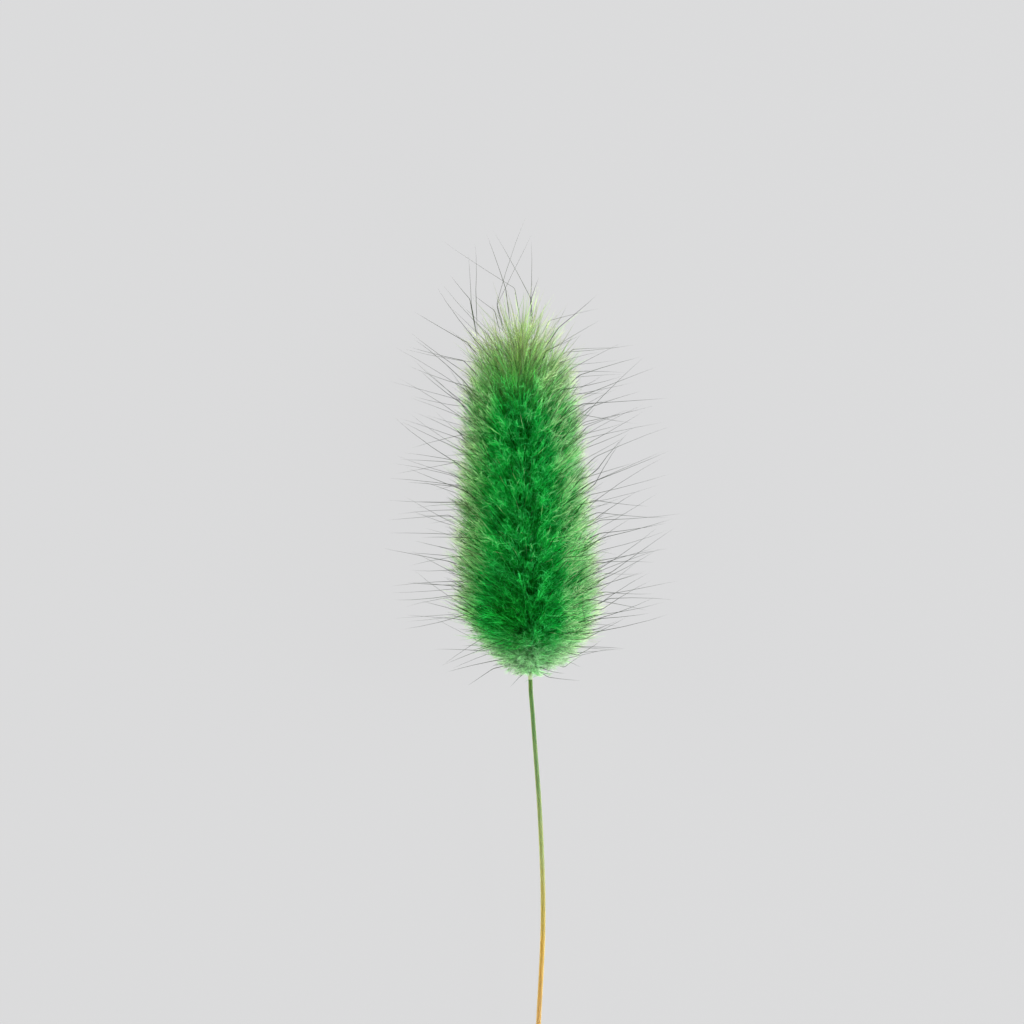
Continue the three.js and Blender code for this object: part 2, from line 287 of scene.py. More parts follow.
# How far the awns lie in the fur, how far past its outline they have their knee in mm, how round that is,
# where the rings before and past it are, and how much they sway
AWN_IN_FUR = 5 * MM
KNEE_STAND = [-0.2, 2.8]
KNEE_ROUND = 0.2 * MM
CLIMB_RING = 0.55
REACH_RINGS = [0.35, 0.7]
AWN_SWAY = 0.02

# How the awns vary: in their place round the head, in their climb, their lean and their swerve as angles, in
# their lengths as shares of the set one, and in their radii in mm
AWN_TURN = 0.3
AWN_CLIMB_JITTER = 0.1
AWN_LEAN_JITTER = 0.22
AWN_SWERVE = 0.4
AWN_LENGTHS = [0.7, 1.15]
AWN_RADII = [0.02, 0.033]

# How far the awns on top of the head stand up, how much less they swerve, and how many fewer there are on top
# and at the left
AWN_TOP_UPRIGHT = 0.7
AWN_TOP_STEADY = 0.8
AWN_TOP_THINNING = 0.8
AWN_LEFT_THINNING = 0.1

# The crown of awns at the head's tip. Each row is one awn's X and Y at its root, its knee and its tip, in mm.
# They are a little finer than the others, and lie up to CROWN_HEIGHT mm above or below the plant's middle
CROWN_AWNS = [
    [-6.3, 24.7, -7.3, 30.1, -7.7, 36.9],
    [-6.4, 24.7, -7.5, 30.9, -10.1, 34.0],
    [-6.5, 25.7, -6.7, 32.0, -6.8, 38.3],
    [-3.2, 25.3, -4.2, 29.2, -7.2, 31.6],
    [-2.5, 25.3, -3.9, 30.1, 0.0, 41.8],
    [-2.7, 25.3, -3.9, 29.9, 1.1, 40.0],
    [-1.9, 26.0, -2.7, 32.3, -5.3, 39.7],
    [-0.5, 26.7, -1.5, 32.4, -11.3, 38.7],
    [1.1, 26.3, 0.6, 31.1, -4.4, 39.9],
    [0.8, 26.0, 0.7, 30.9, 1.7, 33.7],
    [0.5, 25.5, 0.6, 30.0, 0.7, 38.7],
    [1.3, 24.7, 3.1, 28.0, 9.9, 29.7],
]
CROWN_FINENESS = 0.88
CROWN_HEIGHT = 1.8

# The stem, thinner towards the head
STEM_TOP_RADIUS = 0.285 * MM
STEM_CUT_RADIUS = 0.4 * MM
STEM_TAPER_POWER = 0.4
STEM_IN_HEAD = 4 * MM
STEM_STEP = 3.0 * MM
STEM_SIDES = 20
STEM_RIB_DEPTH = 0.93
SMOOTH_UP_TO = math.radians(50)

# Its slim pale collar, whose rings lie at shares of its length from its middle. Those within a smaller share
# are the wide ones. Then the hollow of its cut end
COLLAR_Y = -19.55 * MM
COLLAR_RADIUS = 0.335 * MM
COLLAR_LENGTH = 0.4 * MM
COLLAR_RINGS = [1.0, 0.5, -0.5, -1.0]
COLLAR_WIDE_TO = 0.6
COLLAR_COLOUR = (0.27, 0.35, 0.25)
CUT_WALL = 0.13 * MM
CUT_DEPTH = 2 * MM

# The stem's colours between its green top and its straw end, each at a share of the way between their places
STEM_COLOUR_ENDS = [-20 * MM, -66 * MM]
STEM_COLOURS = [
    (0.08, (0.047, 0.12, 0.046)),
    (0.3, (0.09, 0.16, 0.075)),
    (0.5, (0.17, 0.215, 0.1)),
    (0.64, (0.215, 0.2, 0.068)),
    (0.78, (0.27, 0.193, 0.053)),
]

# The stem's streaks: how often they repeat in a metre across and along it, and what they do to its brightness
# and roughness. Its mottling shifts its colours along it
STREAK_SCALE = (9000, 250, 9000)
STREAK_SHADES = [0.78, 1.18]
STREAK_ROUGHNESS = [0.38, 0.62]
MOTTLE_SCALE = 160
MOTTLE_SHIFT = [-0.06, 0.06]

# The colours of a strand: at its root, in its middle, at its tip, and the tints that it takes near the head's
# tip and base, between these shares of the head. The base tint is partly the base's own paler colour and
# partly painted light
COLOUR_LABELS = ("Root", "Middle", "Tip", "Head Tip Tint", "Head Base Tint")
TIP_TINT_SHARES = [0.73, 0.99]
BASE_TINT_SHARES = [0.16, 0.04]
BRISTLE_COLOURS = [
    (0.005, 0.3, 0.03),
    (0.01, 0.45, 0.08),
    (0.15, 0.3, 0.06),
    (0.3, 0.42, 0.12),
    (0.3, 0.6, 0.3),
]
STRAND_COLOURS = [
    (0.008, 0.4, 0.04),
    (0.03, 0.6, 0.1),
    (0.7, 0.86, 0.48),
    (0.7, 0.78, 0.44),
    (0.6, 0.85, 0.6),
]
AWN_COLOURS = [
    (0.005, 0.07, 0.01),
    (0.015, 0.09, 0.02),
    (0.02, 0.022, 0.012),
    (0.05, 0.06, 0.02),
    (0.04, 0.05, 0.03),
]

# How the fur's colours come from its dye: what is left of it deep down, darkened as painted shade, how it
# turns to mint in the middle, and what is added to it at the hair's tip, at the head's tip and at the head's
# base, which is partly its own paler colour and partly painted light
DEEP_SHADE_TINT = (0.3, 1.0, 0.05)
MINT = (0.7, 0.0, 1.0)
PALE_TIP = (0.8, 0.12, 0.48)
PALE_HEAD_TIP = (0.76, 0.1, 0.26)
HEAD_BASE_PALE_AND_LIT = (0.65, 0.2, 0.5)

# How bright the dye is deep down, under its painted shade, and how much mint is in its middle
HAIR_DEEP_SHADE_AND_MINT = [0.46, 0.02]
CURL_DEEP_SHADE_AND_MINT = [0.54, 0.07]

# The finish of each kind of strand: the dark colour that some have all along and how many have it, how strong
# the tints are, how late the pale tip begins, how far the shades spread, how much light goes through it, and
# its roughness. Then the gloss of them all, and how soon an awn takes the colour of its tip
BRISTLE_FINISH = {
    "dark": (0.012, 0.08, 0.008),
    "dark_share": 0.3,
    "tint": 0.8,
    "fade": 0.6,
    "spread": 0.35,
    "translucent": 0.15,
    "roughness": 0.5,
}
STRAND_FINISH = {
    "dark": (0.003, 0.03, 0.002),
    "dark_share": 0.4,
    "tint": 0.65,
    "fade": 0.6,
    "spread": 0.35,
    "translucent": 0.3,
    "roughness": 0.45,
}
HAIR_FINISH = {
    "dark": (0.002, 0.2, 0.02),
    "dark_share": 0.1,
    "tint": 0.85,
    "fade": 0.9,
    "spread": 0.5,
    "translucent": 0.5,
    "roughness": 0.6,
}
CURL_FINISH = HAIR_FINISH | {"fade": 1.0, "spread": 0.4, "translucent": 0.3}
AWN_FINISH = {
    "dark": (0.04, 0.05, 0.03),
    "dark_share": 0.0,
    "tint": 0.4,
    "fade": 0.5,
    "spread": 0.3,
    "translucent": 0.1,
    "roughness": 0.5,
}
CORE_FINISH = {
    "dark_share": 0.0,
    "tint": 0.0,
    "fade": 1.0,
    "spread": 0.3,
    "translucent": 0.0,
    "roughness": 0.9,
}
HAIR_GLOSS = 0.05
AWN_FADE = 0.12

# The camera looks straight down on the part of the plant that the photo shows
CAMERA_LENS = 110
SENSOR_WIDTH = 36
PHOTO_FIELD = 136.53 * MM
CAMERA_X = -1.867 * MM
CAMERA_Y = 2.4 * MM
HEAD_HEIGHT = 7.5 * MM
CAMERA_Z = HEAD_HEIGHT + PHOTO_FIELD * CAMERA_LENS / SENSOR_WIDTH

# Three soft lights, low down at the right, the left and the stem's side of the plant
KEY_PLACE = (0.74, 0.15, 0.34)
FILL_PLACE = (-0.74, 0.3, 0.2)
LOW_PLACE = (0.35, -0.8, 0.18)
KEY_COLOUR = (0.95, 1.0, 1.0)
FILL_COLOUR = (0.97, 1.0, 0.84)
LOW_COLOUR = (1.0, 1.0, 0.95)
LIGHT_SIZE = 0.5

# The floor and the sky: their white, the floor's tones and its glow, and between which heights the sky dims
STUDIO_WHITE = (1, 1, 1.01)
FLOOR_TONES = [0.018, 0.022]
FLOOR_GLOW = 0.68
SKY_EDGES = [0.1, 0.75]

GOLDEN_ANGLE = math.pi * (3 - math.sqrt(5))
RANDOM_SEED = 41


class StemSettings(bpy.types.PropertyGroup):
    """Sizes and colours of the stem"""

    thickness: bpy.props.FloatProperty(
        name="Thickness",
        description="Thickness of the stem compared with the real one in the photo",
        default=1.0,
        min=0.5,
        max=2.0,
        subtype="FACTOR",
    )
    green: bpy.props.FloatVectorProperty(
        name="Green",
        description="Colour of the stem right under the head",
        default=(0.035, 0.1, 0.025),
        size=3,
        min=0,
        max=1,
        subtype="COLOR",
    )
    straw: bpy.props.FloatVectorProperty(
        name="Straw",
        description="Colour of the dry lower stem",
        default=(0.29, 0.193, 0.082),
        size=3,
        min=0,
        max=1,
        subtype="COLOR",
    )


class HeadSettings(bpy.types.PropertyGroup):
    """Sizes and colours of the flower head"""

    fur_radius: bpy.props.FloatProperty(
        name="Fur radius",
        description="How far the dense fur reaches from the middle, at its widest",
        default=8.75 * MM,
        min=2 * MM,
        max=20 * MM,
        unit="LENGTH",
    )
    spikelet_spacing: bpy.props.FloatProperty(
        name="Spikelet spacing",
        description="Distance between two neighbouring spikelets on the outline of the fur",
        default=1.5 * MM,
        min=1 * MM,
        max=6 * MM,
        unit="LENGTH",
    )
    bristle_length: bpy.props.FloatProperty(
        name="Bristle length",
        description="Length of the feathered bristles that carry the fur",
        default=7.5 * MM,
        min=2 * MM,
        max=12 * MM,
        unit="LENGTH",
    )
    hair_count: bpy.props.IntProperty(
        name="Hairs",
        description="Number of soft hairs in the whole fur",
        default=62000,
        min=100,
        max=150000,
    )
    hair_length: bpy.props.FloatProperty(
        name="Hair length",
        description="Length of one soft hair in the middle of a bristle",
        default=2.8 * MM,
        min=0.5 * MM,
        max=5 * MM,
        unit="LENGTH",
    )
    curl_count: bpy.props.IntProperty(
        name="Curls",
        description="Number of short curly hairs in the outer fur",
        default=27000,
        min=100,
        max=32000,
    )
    curl_length: bpy.props.FloatProperty(
        name="Curl length",
        description="Length of one short curly hair",
        default=1.7 * MM,
        min=0.5 * MM,
        max=5 * MM,
        unit="LENGTH",
    )
    hair_radius: bpy.props.FloatProperty(
        name="Hair radius",
        description="Radius of one soft hair at its root",
        default=0.017 * MM,
        min=0.005 * MM,
        max=0.1 * MM,
        unit="LENGTH",
    )
    awn_length: bpy.props.FloatProperty(
        name="Awn length",
        description="Length of an awn from its knee to its tip",
        default=10.2 * MM,
        min=2 * MM,
        max=20 * MM,
        unit="LENGTH",
    )
    dye: bpy.props.FloatVectorProperty(
        name="Dye",
        description="Colour of the dyed hair",
        default=(0.003, 0.74, 0.1),
        size=3,
        min=0,
        max=1,
        subtype="COLOR",
    )


class StageSettings(bpy.types.PropertyGroup):
    """Sizes and light of the plain studio stage"""

    floor_size: bpy.props.FloatProperty(
        name="Floor size",
        description="Length of the floor's sides",
        default=6.0,
        min=1,
        max=50,
        unit="LENGTH",
    )
    key_power: bpy.props.FloatProperty(
        name="Key light",
        description="Power of the soft light at the right",
        default=12.4,
        min=0,
        max=50,
        unit="POWER",
    )
    fill_power: bpy.props.FloatProperty(
        name="Fill light",
        description="Power of the soft light at the left",
        default=11.0,
        min=0,
        max=50,
        unit="POWER",
    )
    low_power: bpy.props.FloatProperty(
        name="Low light",
        description="Power of the soft light on the stem's side",
        default=10.0,
        min=0,
        max=50,
        unit="POWER",
    )
    side_light: bpy.props.FloatProperty(
        name="Side light",
        description="Strength of the soft light that comes from all sides, low down",
        default=0.74,
        min=0,
        max=5,
    )
    top_light: bpy.props.FloatProperty(
        name="Top light",
        description="Strength of the soft light that comes from straight above",
        default=0.15,
        min=0,
        max=5,
    )


# The line and the outline of the plant


def smoothstep(value, low, high):
    """0 at low, 1 at high, and a smooth step between them."""
    share = np.clip((value - low) / (high - low), 0, 1)
    return share * share * (3 - 2 * share)


def unit(vectors):
    """The vectors, each made one unit long. The last axis holds X, Y and Z."""
    return vectors / np.linalg.norm(vectors, axis=-1, keepdims=True)


def middle_at(y):
    """Points on the plant's middle line at the places y, on a smooth curve through PLANT_LINE."""
    y = np.asarray(y, float)
    knots = PLANT_LINE[:, 1]
    sides = PLANT_LINE[:, [0, 2]]
    slopes = np.gradient(sides, knots, axis=0)
    low = np.clip(np.searchsorted(knots, y) - 1, 0, len(knots) - 2)
    span = knots[low + 1] - knots[low]
    share = np.clip((y - knots[low]) / span, 0, 1)[..., None]
    span = span[..., None]
    start = sides[low] * (1 + 2 * share) + slopes[low] * share * span
    end = sides[low + 1] * (3 - 2 * share) - slopes[low + 1] * (1 - share) * span
    found = start * (1 - share) ** 2 + end * share**2
    return np.stack([found[..., 0], y, found[..., 1]], -1)


def head_share(y):
    """The share of the way from the head's base to its tip."""
    return np.clip((y - HEAD_BASE_Y) / (HEAD_TIP_Y - HEAD_BASE_Y), 0, 1)


def fur_outline(y, fur_radius):
    """How far the dense fur reaches from the plant's middle at the places y."""
    below = np.clip((HEAD_WIDEST_Y - y) / (HEAD_WIDEST_Y - HEAD_BASE_Y), 0, 1)
    above = np.clip((y - HEAD_WIDEST_Y) / (HEAD_TIP_Y - HEAD_WIDEST_Y), 0, 1)
    base = (1 - below**BASE_POWER) ** BASE_ROUND
    tip = (1 - FUR_TAPER * above) * (1 - above**TIP_POWER) ** TIP_ROUND
    return fur_radius * base * tip


def outward(angle):
    """Directions away from the plant's middle: 0 is +X and a quarter turn is up."""
    return np.stack([np.cos(angle), np.zeros_like(angle), np.sin(angle)], -1)


def leaning(lean, angle):
    """Directions that lean away from the plant's own direction, towards the side given by an angle."""
    along = np.array([0.0, 1.0, 0.0])
    return np.cos(lean)[..., None] * along + np.sin(lean)[..., None] * outward(angle)


def outline_points(y, angle, fur_radius):
    """Points on the outline of the dense fur, at the places y and at angles round the plant."""
    return middle_at(y) + fur_outline(y, fur_radius)[:, None] * outward(angle)


def bristle_lean(y):
    """How far a bristle leans outwards where its tip is at y."""
    return np.radians(np.interp(head_share(y), LEAN_SHARES, LEAN_DEGREES))


def spiral_places(spacing, from_y, to_y, fur_radius):
    """Places on the fur, a golden angle apart and evenly spread over it, as two arrays: y and angle."""
    step = 0.5 * MM
    places = []
    y = from_y
    while y < to_y:
        places.append(y)
        here, further = fur_outline(np.array([y, y + step]), fur_radius)
        girth = 2 * math.pi * max(here, spacing / 2)
        slant = math.hypot(1, (further - here) / step)
        y += spacing**2 / (girth * slant)
    places = np.array(places)
    return places, GOLDEN_ANGLE * np.arange(len(places))


def pressed(points, rng):
    """The points, with those below the floor pressed into the thin mat of hair that lies on it."""
    mat = FLOOR_GAP + PRESSED_DEPTH * rng.random(points.shape[:-1])
    points[..., 2] = np.where(points[..., 2] < mat, mat, points[..., 2])
    return points


# Rods made by hand, and many copies of one rod along lines


def select_only(piece):
    """Makes one object the only selected one and the active one."""
    bpy.ops.object.select_all(action="DESELECT")
    piece.select_set(True)
    bpy.context.view_layer.objects.active = piece


def add_rod(name, centres, radii, sides, rib_depth=1.0):
    """A closed rod along +Y: a circle is extruded and resized from place to place.

    With a rib depth under 1, every other corner of the circle is drawn in by that factor.
    """
    bpy.ops.object.select_all(action="DESELECT")
    bpy.ops.mesh.primitive_circle_add(
        vertices=sides, radius=radii[0], fill_type="NGON", location=centres[0], rotation=(math.pi / 2, 0, 0)
    )
    rod = bpy.context.active_object
    rod.name = name
    bpy.ops.object.transform_apply(location=True, rotation=True, scale=True)
    if rib_depth < 1:
        for corner in rod.data.vertices:
            corner.select = corner.index % 2 == 0
        bpy.ops.object.mode_set(mode="EDIT")
        bpy.ops.mesh.select_mode(type="VERT")
        bpy.ops.transform.resize(value=(rib_depth,) * 3, center_override=centres[0])
        bpy.ops.mesh.select_all(action="SELECT")
    else:
        bpy.ops.object.mode_set(mode="EDIT")
        bpy.ops.mesh.select_all(action="SELECT")
    bpy.ops.mesh.select_mode(type="FACE")
    for step in range(1, len(centres)):
        move = Vector(centres[step]) - Vector(centres[step - 1])
        bpy.ops.mesh.extrude_region_move(TRANSFORM_OT_translate={"value": move})
        grow = radii[step] / radii[step - 1]
        bpy.ops.transform.resize(value=(grow,) * 3, center_override=centres[step])
    bpy.ops.mesh.select_all(action="SELECT")
    bpy.ops.mesh.normals_make_consistent(inside=False)
    bpy.ops.object.mode_set(mode="OBJECT")
    return rod


def add_hair_template(rings, widths):
    """One three-sided hair along +Z, one unit long, with a loop of each width between its two points."""
    bpy.ops.object.select_all(action="DESELECT")
    bpy.ops.mesh.primitive_cone_add(
        vertices=3, radius1=1, radius2=0, depth=1, end_fill_type="NOTHING", location=(0, 0, 0.5)
    )
    hair = bpy.context.active_object
    bpy.ops.object.transform_apply(location=True, rotation=True, scale=True)
    bpy.ops.object.mode_set(mode="EDIT")
    taper = 1
    for height, width in zip(rings[1:-1], widths):
        bpy.ops.mesh.select_all(action="SELECT")
        bpy.ops.mesh.bisect(plane_co=(0, 0, height), plane_no=(0, 0, 1))
        grow = width / (taper * (1 - height))
        bpy.ops.transform.resize(value=(grow, grow, 1), center_override=(0, 0, height))
        taper = width / (1 - height)
    bpy.ops.mesh.select_all(action="DESELECT")
    bpy.ops.mesh.select_mode(type="VERT")
    bpy.ops.object.mode_set(mode="OBJECT")
    for corner in hair.data.vertices:
        corner.select = corner.co.z < rings[1] / 2
    bpy.ops.object.mode_set(mode="EDIT")
    bpy.ops.mesh.merge(type="CENTER")
    bpy.ops.mesh.select_all(action="SELECT")
    bpy.ops.mesh.normals_make_consistent(inside=False)
    bpy.ops.object.mode_set(mode="OBJECT")
    return hair


def template_arrays(hair, rings):
    """What a copy needs of a template: each corner's place and ring, and the faces' corners and sizes."""
    corners = np.array([corner.co for corner in hair.data.vertices])
    ring = np.abs(corners[:, 2:] - np.array(rings)).argmin(1)
    face_corners = np.array([corner for face in hair.data.polygons for corner in face.vertices])
    sizes = np.array([len(face.vertices) for face in hair.data.polygons])
    return corners, ring, face_corners, sizes


def ring_sides(lines, rng):
    """Two directions across each line at each of its rings, as unit vectors."""
    along = unit(np.gradient(lines, axis=1))
    chord = lines[:, -1] - lines[:, 0]
    across = np.cross(chord, rng.normal(size=chord.shape))[:, None]
    wide = unit(across - (across * along).sum(2, keepdims=True) * along)
    return wide, np.cross(along, wide)


def copies_along(name, hair, rings, lines, radii, places, heights, rng):
    """One mesh object with a copy of the hair along each line.

    lines has a point for each ring. places gives each copy's place across the piece's own map, and heights
    gives its rings' places up the map.
    """
    corners, ring, face_corners, sizes = template_arrays(hair, rings)
    wide, deep = ring_sides(lines, rng)
    off_line = corners[:, 0, None] * wide[:, ring] + corners[:, 1, None] * deep[:, ring]
    points = lines[:, ring] + radii[:, None, None] * off_line
    count, corner_count = points.shape[:2]
    first = corner_count * np.arange(count)[:, None]
    mesh = bpy.data.meshes.new(name)
    mesh.vertices.add(count * corner_count)
    mesh.vertices.foreach_set("co", points.astype(np.float32).ravel())
    loops = (face_corners[None] + first).ravel()
    mesh.loops.add(len(loops))
    mesh.loops.foreach_set("vertex_index", loops.astype(np.int32))
    loop_sizes = np.tile(sizes, count)
    mesh.polygons.add(len(loop_sizes))
    mesh.polygons.foreach_set("loop_start", (np.cumsum(loop_sizes) - loop_sizes).astype(np.int32))
    mesh.polygons.foreach_set("use_smooth", np.ones(len(loop_sizes), bool))
    across = places[:, None] + STRAND_WIDTH * corners[:, 0]
    up = np.broadcast_to(heights, (count, len(rings)))[:, ring]
    spots = np.stack([across, up], -1).reshape(-1, 2)
    layer = mesh.uv_layers.new(name=HAIR_MAP)
    layer.uv.foreach_set("vector", spots[loops].astype(np.float32).ravel())
    mesh.update(calc_edges=True)
    piece = bpy.data.objects.new(name, mesh)
    bpy.context.collection.objects.link(piece)
    return piece


def climbing(heights):
    """Places up a map that rise at least a little from ring to ring, and stay on the map."""
    steps = STRAND_CLIMB * np.arange(heights.shape[1])
    rising = np.maximum.accumulate(heights - steps, axis=1) + steps
    return MAP_EDGE + (1 - 2 * MAP_EDGE) * rising / (1 + steps[-1])


def remove(piece):
    """Deletes a template once it has been copied."""
    select_only(piece)
    bpy.ops.object.delete()


# Lines that hairs, bristles and awns follow


def arched(root, bend, tip, along):
    """Points on arches from root to tip, at the shares of the way in along."""
    return root * (1 - along) ** 2 + 2 * bend * along * (1 - along) + tip * along**2


def arch_direction(root, bend, tip, along):
    """The unit direction of each arch at the shares of the way in along."""
    return unit((bend - root) * (1 - along) + (tip - bend) * along)


def arch_lines(root, bend, tip):
    """Lines with BRISTLE_RINGS points each, on arches from root to tip."""
    return arched(root[:, None], bend[:, None], tip[:, None], np.array(BRISTLE_RINGS)[None, :, None])


def unit_noise(rng, count):
    """Random unit vectors."""
    return unit(rng.normal(size=(count, 3)))


def growth(share, at_base, full_from):
    """How long strands are, as a share of their full length, at shares of the way along the head."""
    return at_base + (1 - at_base) * smoothstep(share, 0, full_from)


def bristle_arches(head):
    """Root, bend and tip of each feathered bristle, and its share along the head.

    Each spikelet has two. They end near the fur's outline, and are combed away from the parting on its top.
    """
    rng = np.random.default_rng(RANDOM_SEED)
    y, angle = spiral_places(head.spikelet_spacing, HEAD_BASE_Y, HEAD_TIP_Y, head.fur_radius)
    y = np.repeat(y, 2) + rng.uniform(-PAIR_SHIFT, PAIR_SHIFT, 2 * len(y)) * MM
    angle = np.repeat(angle, 2) + rng.uniform(-PAIR_TURN, PAIR_TURN, len(y))
    share = head_share(y)
    stand = rng.uniform(*BRISTLE_STAND, (len(y), 1)) * MM
    lean = bristle_lean(y) + rng.normal(0, LEAN_JITTER, len(y))
    length = head.bristle_length * growth(share, *BRISTLE_GROWTH) * rng.uniform(*BRISTLE_LENGTHS, len(y))
    half = 0.5 * length[:, None]
    combed = angle - COMBED_TURN * np.sin(2 * angle)
    end = leaning(lean, combed)
    tip = outline_points(y, angle, head.fur_radius) + stand * end
    bend = tip - half * end
    root = bend - half * leaning(lean - LEAN_BEND, combed)
    return root, bend, tip, share


def hair_weights(tip, share, at_base):
    """How much hair each bristle gets: more in some soft-edged tufts, and less at the head's tip.

    at_base says how much more or less it gets at the head's base.
    """
    rng = np.random.default_rng(RANDOM_SEED + 9)
    away = tip - middle_at(tip[:, 1])
    angle = np.arctan2(away[:, 2], away[:, 0])
    waves = np.zeros(len(tip))
    for _ in range(TUFT_WAVES):
        turns = rng.integers(-TUFT_TURNS, TUFT_TURNS + 1)
        spin = rng.uniform(*TUFT_SPINS)
        start = rng.uniform(0, 2 * math.pi)
        waves += np.sin(spin * tip[:, 1] / MM + turns * angle + start)
    tufts = np.clip(1 + TUFT_CONTRAST * waves / math.sqrt(TUFT_WAVES), *TUFT_LIMITS)
    thinned = tufts * (1 - TIP_THINNING * smoothstep(share, *THINNING_SHARES))
    weight = thinned * (1 + at_base * smoothstep(share, *BASE_SHARES))
    return weight / weight.sum()


def nearness(points, fur_radius):
    """How near points are to the open air: 0 where the fur is deep, and 1 past the fuzz on its outline."""
    y = points[..., 1]
    away = np.linalg.norm(points - middle_at(y), axis=-1)
    return np.clip((away - fur_outline(y, fur_radius) + FUR_DEPTH) / (FUR_DEPTH + FUR_FUZZ), 0, 1)


def sideways(points):
    """How far to the plant's side points lie: 1 straight to its right, and -1 straight to its left."""
    away = points - middle_at(points[:, 1])
    return away[:, 0] / np.linalg.norm(away, axis=1)


def at_side(side):
    """How much places count as at one side of the plant, where side is how far towards it they lie."""
    return smoothstep(side, *SIDE_EDGES)


def clear_of_stem(lines):
    """Which lines stay on the head, so that no hair hangs down over the stem."""
    return lines[..., 1].min(axis=1) > HEAD_BASE_Y - BASE_HANG


def colour_heights(profile, lines, shaded_top_height):
    """Places up the map: as high as the profile at the plant's sides, which get painted light, and a share of
    it on top, which gets painted shade.

    The painted light on the sides is wider at the head's tip, and in a pool of painted shade all places are
    lower.
    """
    tip = lines[:, -1]
    at_tip = LIT_SIDE_AT_TIP * smoothstep(head_share(tip[:, 1]), *LIT_SIDE_TIP_SHARES)
    # pale is how much painted light a strand gets on the plant's sides; the rest is painted shade on top
    pale = smoothstep(np.abs(sideways(tip) + LIT_SIDE_SHIFT) + at_tip, SHADED_TOP_TO, LIT_SIDE_FROM)[:, None]
    # Each pool lowers the places up the map, painting a deeper green there as shade
    for x, y, size, depth in SHADE_POOLS:
        away = np.linalg.norm(tip[:, :2] / MM - (x, y), axis=1) / size
        profile = profile * (1 - depth * np.exp(-(away**2))[:, None])
    return climbing(profile * (shaded_top_height + (1 - shaded_top_height) * pale))


def hair_lines(head):
    """Lines of the soft hairs, which grow from all sides of each bristle.

    Each has its share along the head, its place on its bristle and the tone of its bristle.
    """
    rng = np.random.default_rng(RANDOM_SEED + 1)
    root, bend, tip, share = bristle_arches(head)
    count = head.hair_count
    owner = np.sort(rng.choice(len(root), count, p=hair_weights(tip, share, HAIR_AT_BASE)))
    along = HAIRS_FROM + HAIRS_OVER * rng.random((count, 1)) ** HAIR_CROWDING
    arch = root[owner], bend[owner], tip[owner], along
    foot = arched(*arch)
    direction = arch_direction(*arch)
    across = unit(np.cross(direction, unit_noise(rng, count)))
    combed = smoothstep(share[owner], *COMBED_SHARES)[:, None]
    widest = HAIR_SPREAD_ROOT + (HAIR_SPREAD_TIP - HAIR_SPREAD_ROOT) * along
    spread = rng.uniform(*HAIR_SPREADS, (count, 1)) * widest
    stray = (rng.random((count, 1)) < STRAY_SHARE) * (1 - combed)
    spread = spread * (1 - COMBED_SPREAD * combed) * (1 + STRAY_SPREAD * stray)
    start = np.cos(spread) * direction + np.sin(spread) * across
    curl = (HAIR_CURL + STRAY_CURL * stray) * (1 - COMBED_CURL * combed)
    end = unit(start + curl * unit_noise(rng, count) + HAIR_FOLLOW * direction)
    length = head.hair_length * growth(share[owner], *HAIR_GROWTH)[:, None]
    length = length * (HAIR_AT_ROOT - HAIR_SHORTENING * along + COMBED_LENGTH * combed)
    length = length * (1 - STRAY_SHORTENING * stray) * rng.uniform(*HAIR_LENGTHS, (count, 1))
    middle = foot + HAIR_RINGS[1] * length * start
    lines = np.stack([foot, middle, middle + (1 - HAIR_RINGS[1]) * length * end], 1)
    tone = rng.uniform(-1, 1, len(root))[owner]
    lines = pressed(lines, rng)
    kept = clear_of_stem(lines)
    return lines[kept], share[owner][kept], along[kept, 0], tone[kept]


def curl_lines(head):
    """Lines of the short curly hairs in the outer fur, each with its share along the head."""
    rng = np.random.default_rng(RANDOM_SEED + 8)
    root, bend, tip, share = bristle_arches(head)
    count = head.curl_count
    owner = np.sort(rng.choice(len(root), count, p=hair_weights(tip, share, CURLS_AT_BASE)))
    arch = root[owner], bend[owner], tip[owner], rng.uniform(*CURLS_ON_BRISTLE, (count, 1))
    heading = unit(arch_direction(*arch) + CURL_SCATTER * unit_noise(rng, count))
    turn = unit(np.cross(heading, unit_noise(rng, count)))
    step = head.curl_length / (len(CURL_RINGS) - 1) * growth(share[owner], *HAIR_GROWTH)[:, None]
    step = step * rng.uniform(*CURL_LENGTHS, (count, 1))
    points = [arched(*arch)]
    for _ in CURL_RINGS[1:]:
        points.append(points[-1] + step * heading)
        heading, turn = (
            math.cos(CURL_TURN) * heading + math.sin(CURL_TURN) * turn,
            math.cos(CURL_TURN) * turn - math.sin(CURL_TURN) * heading,
        )
    lines = pressed(np.stack(points, 1), rng)
    kept = clear_of_stem(lines)
    return lines[kept], share[owner][kept]


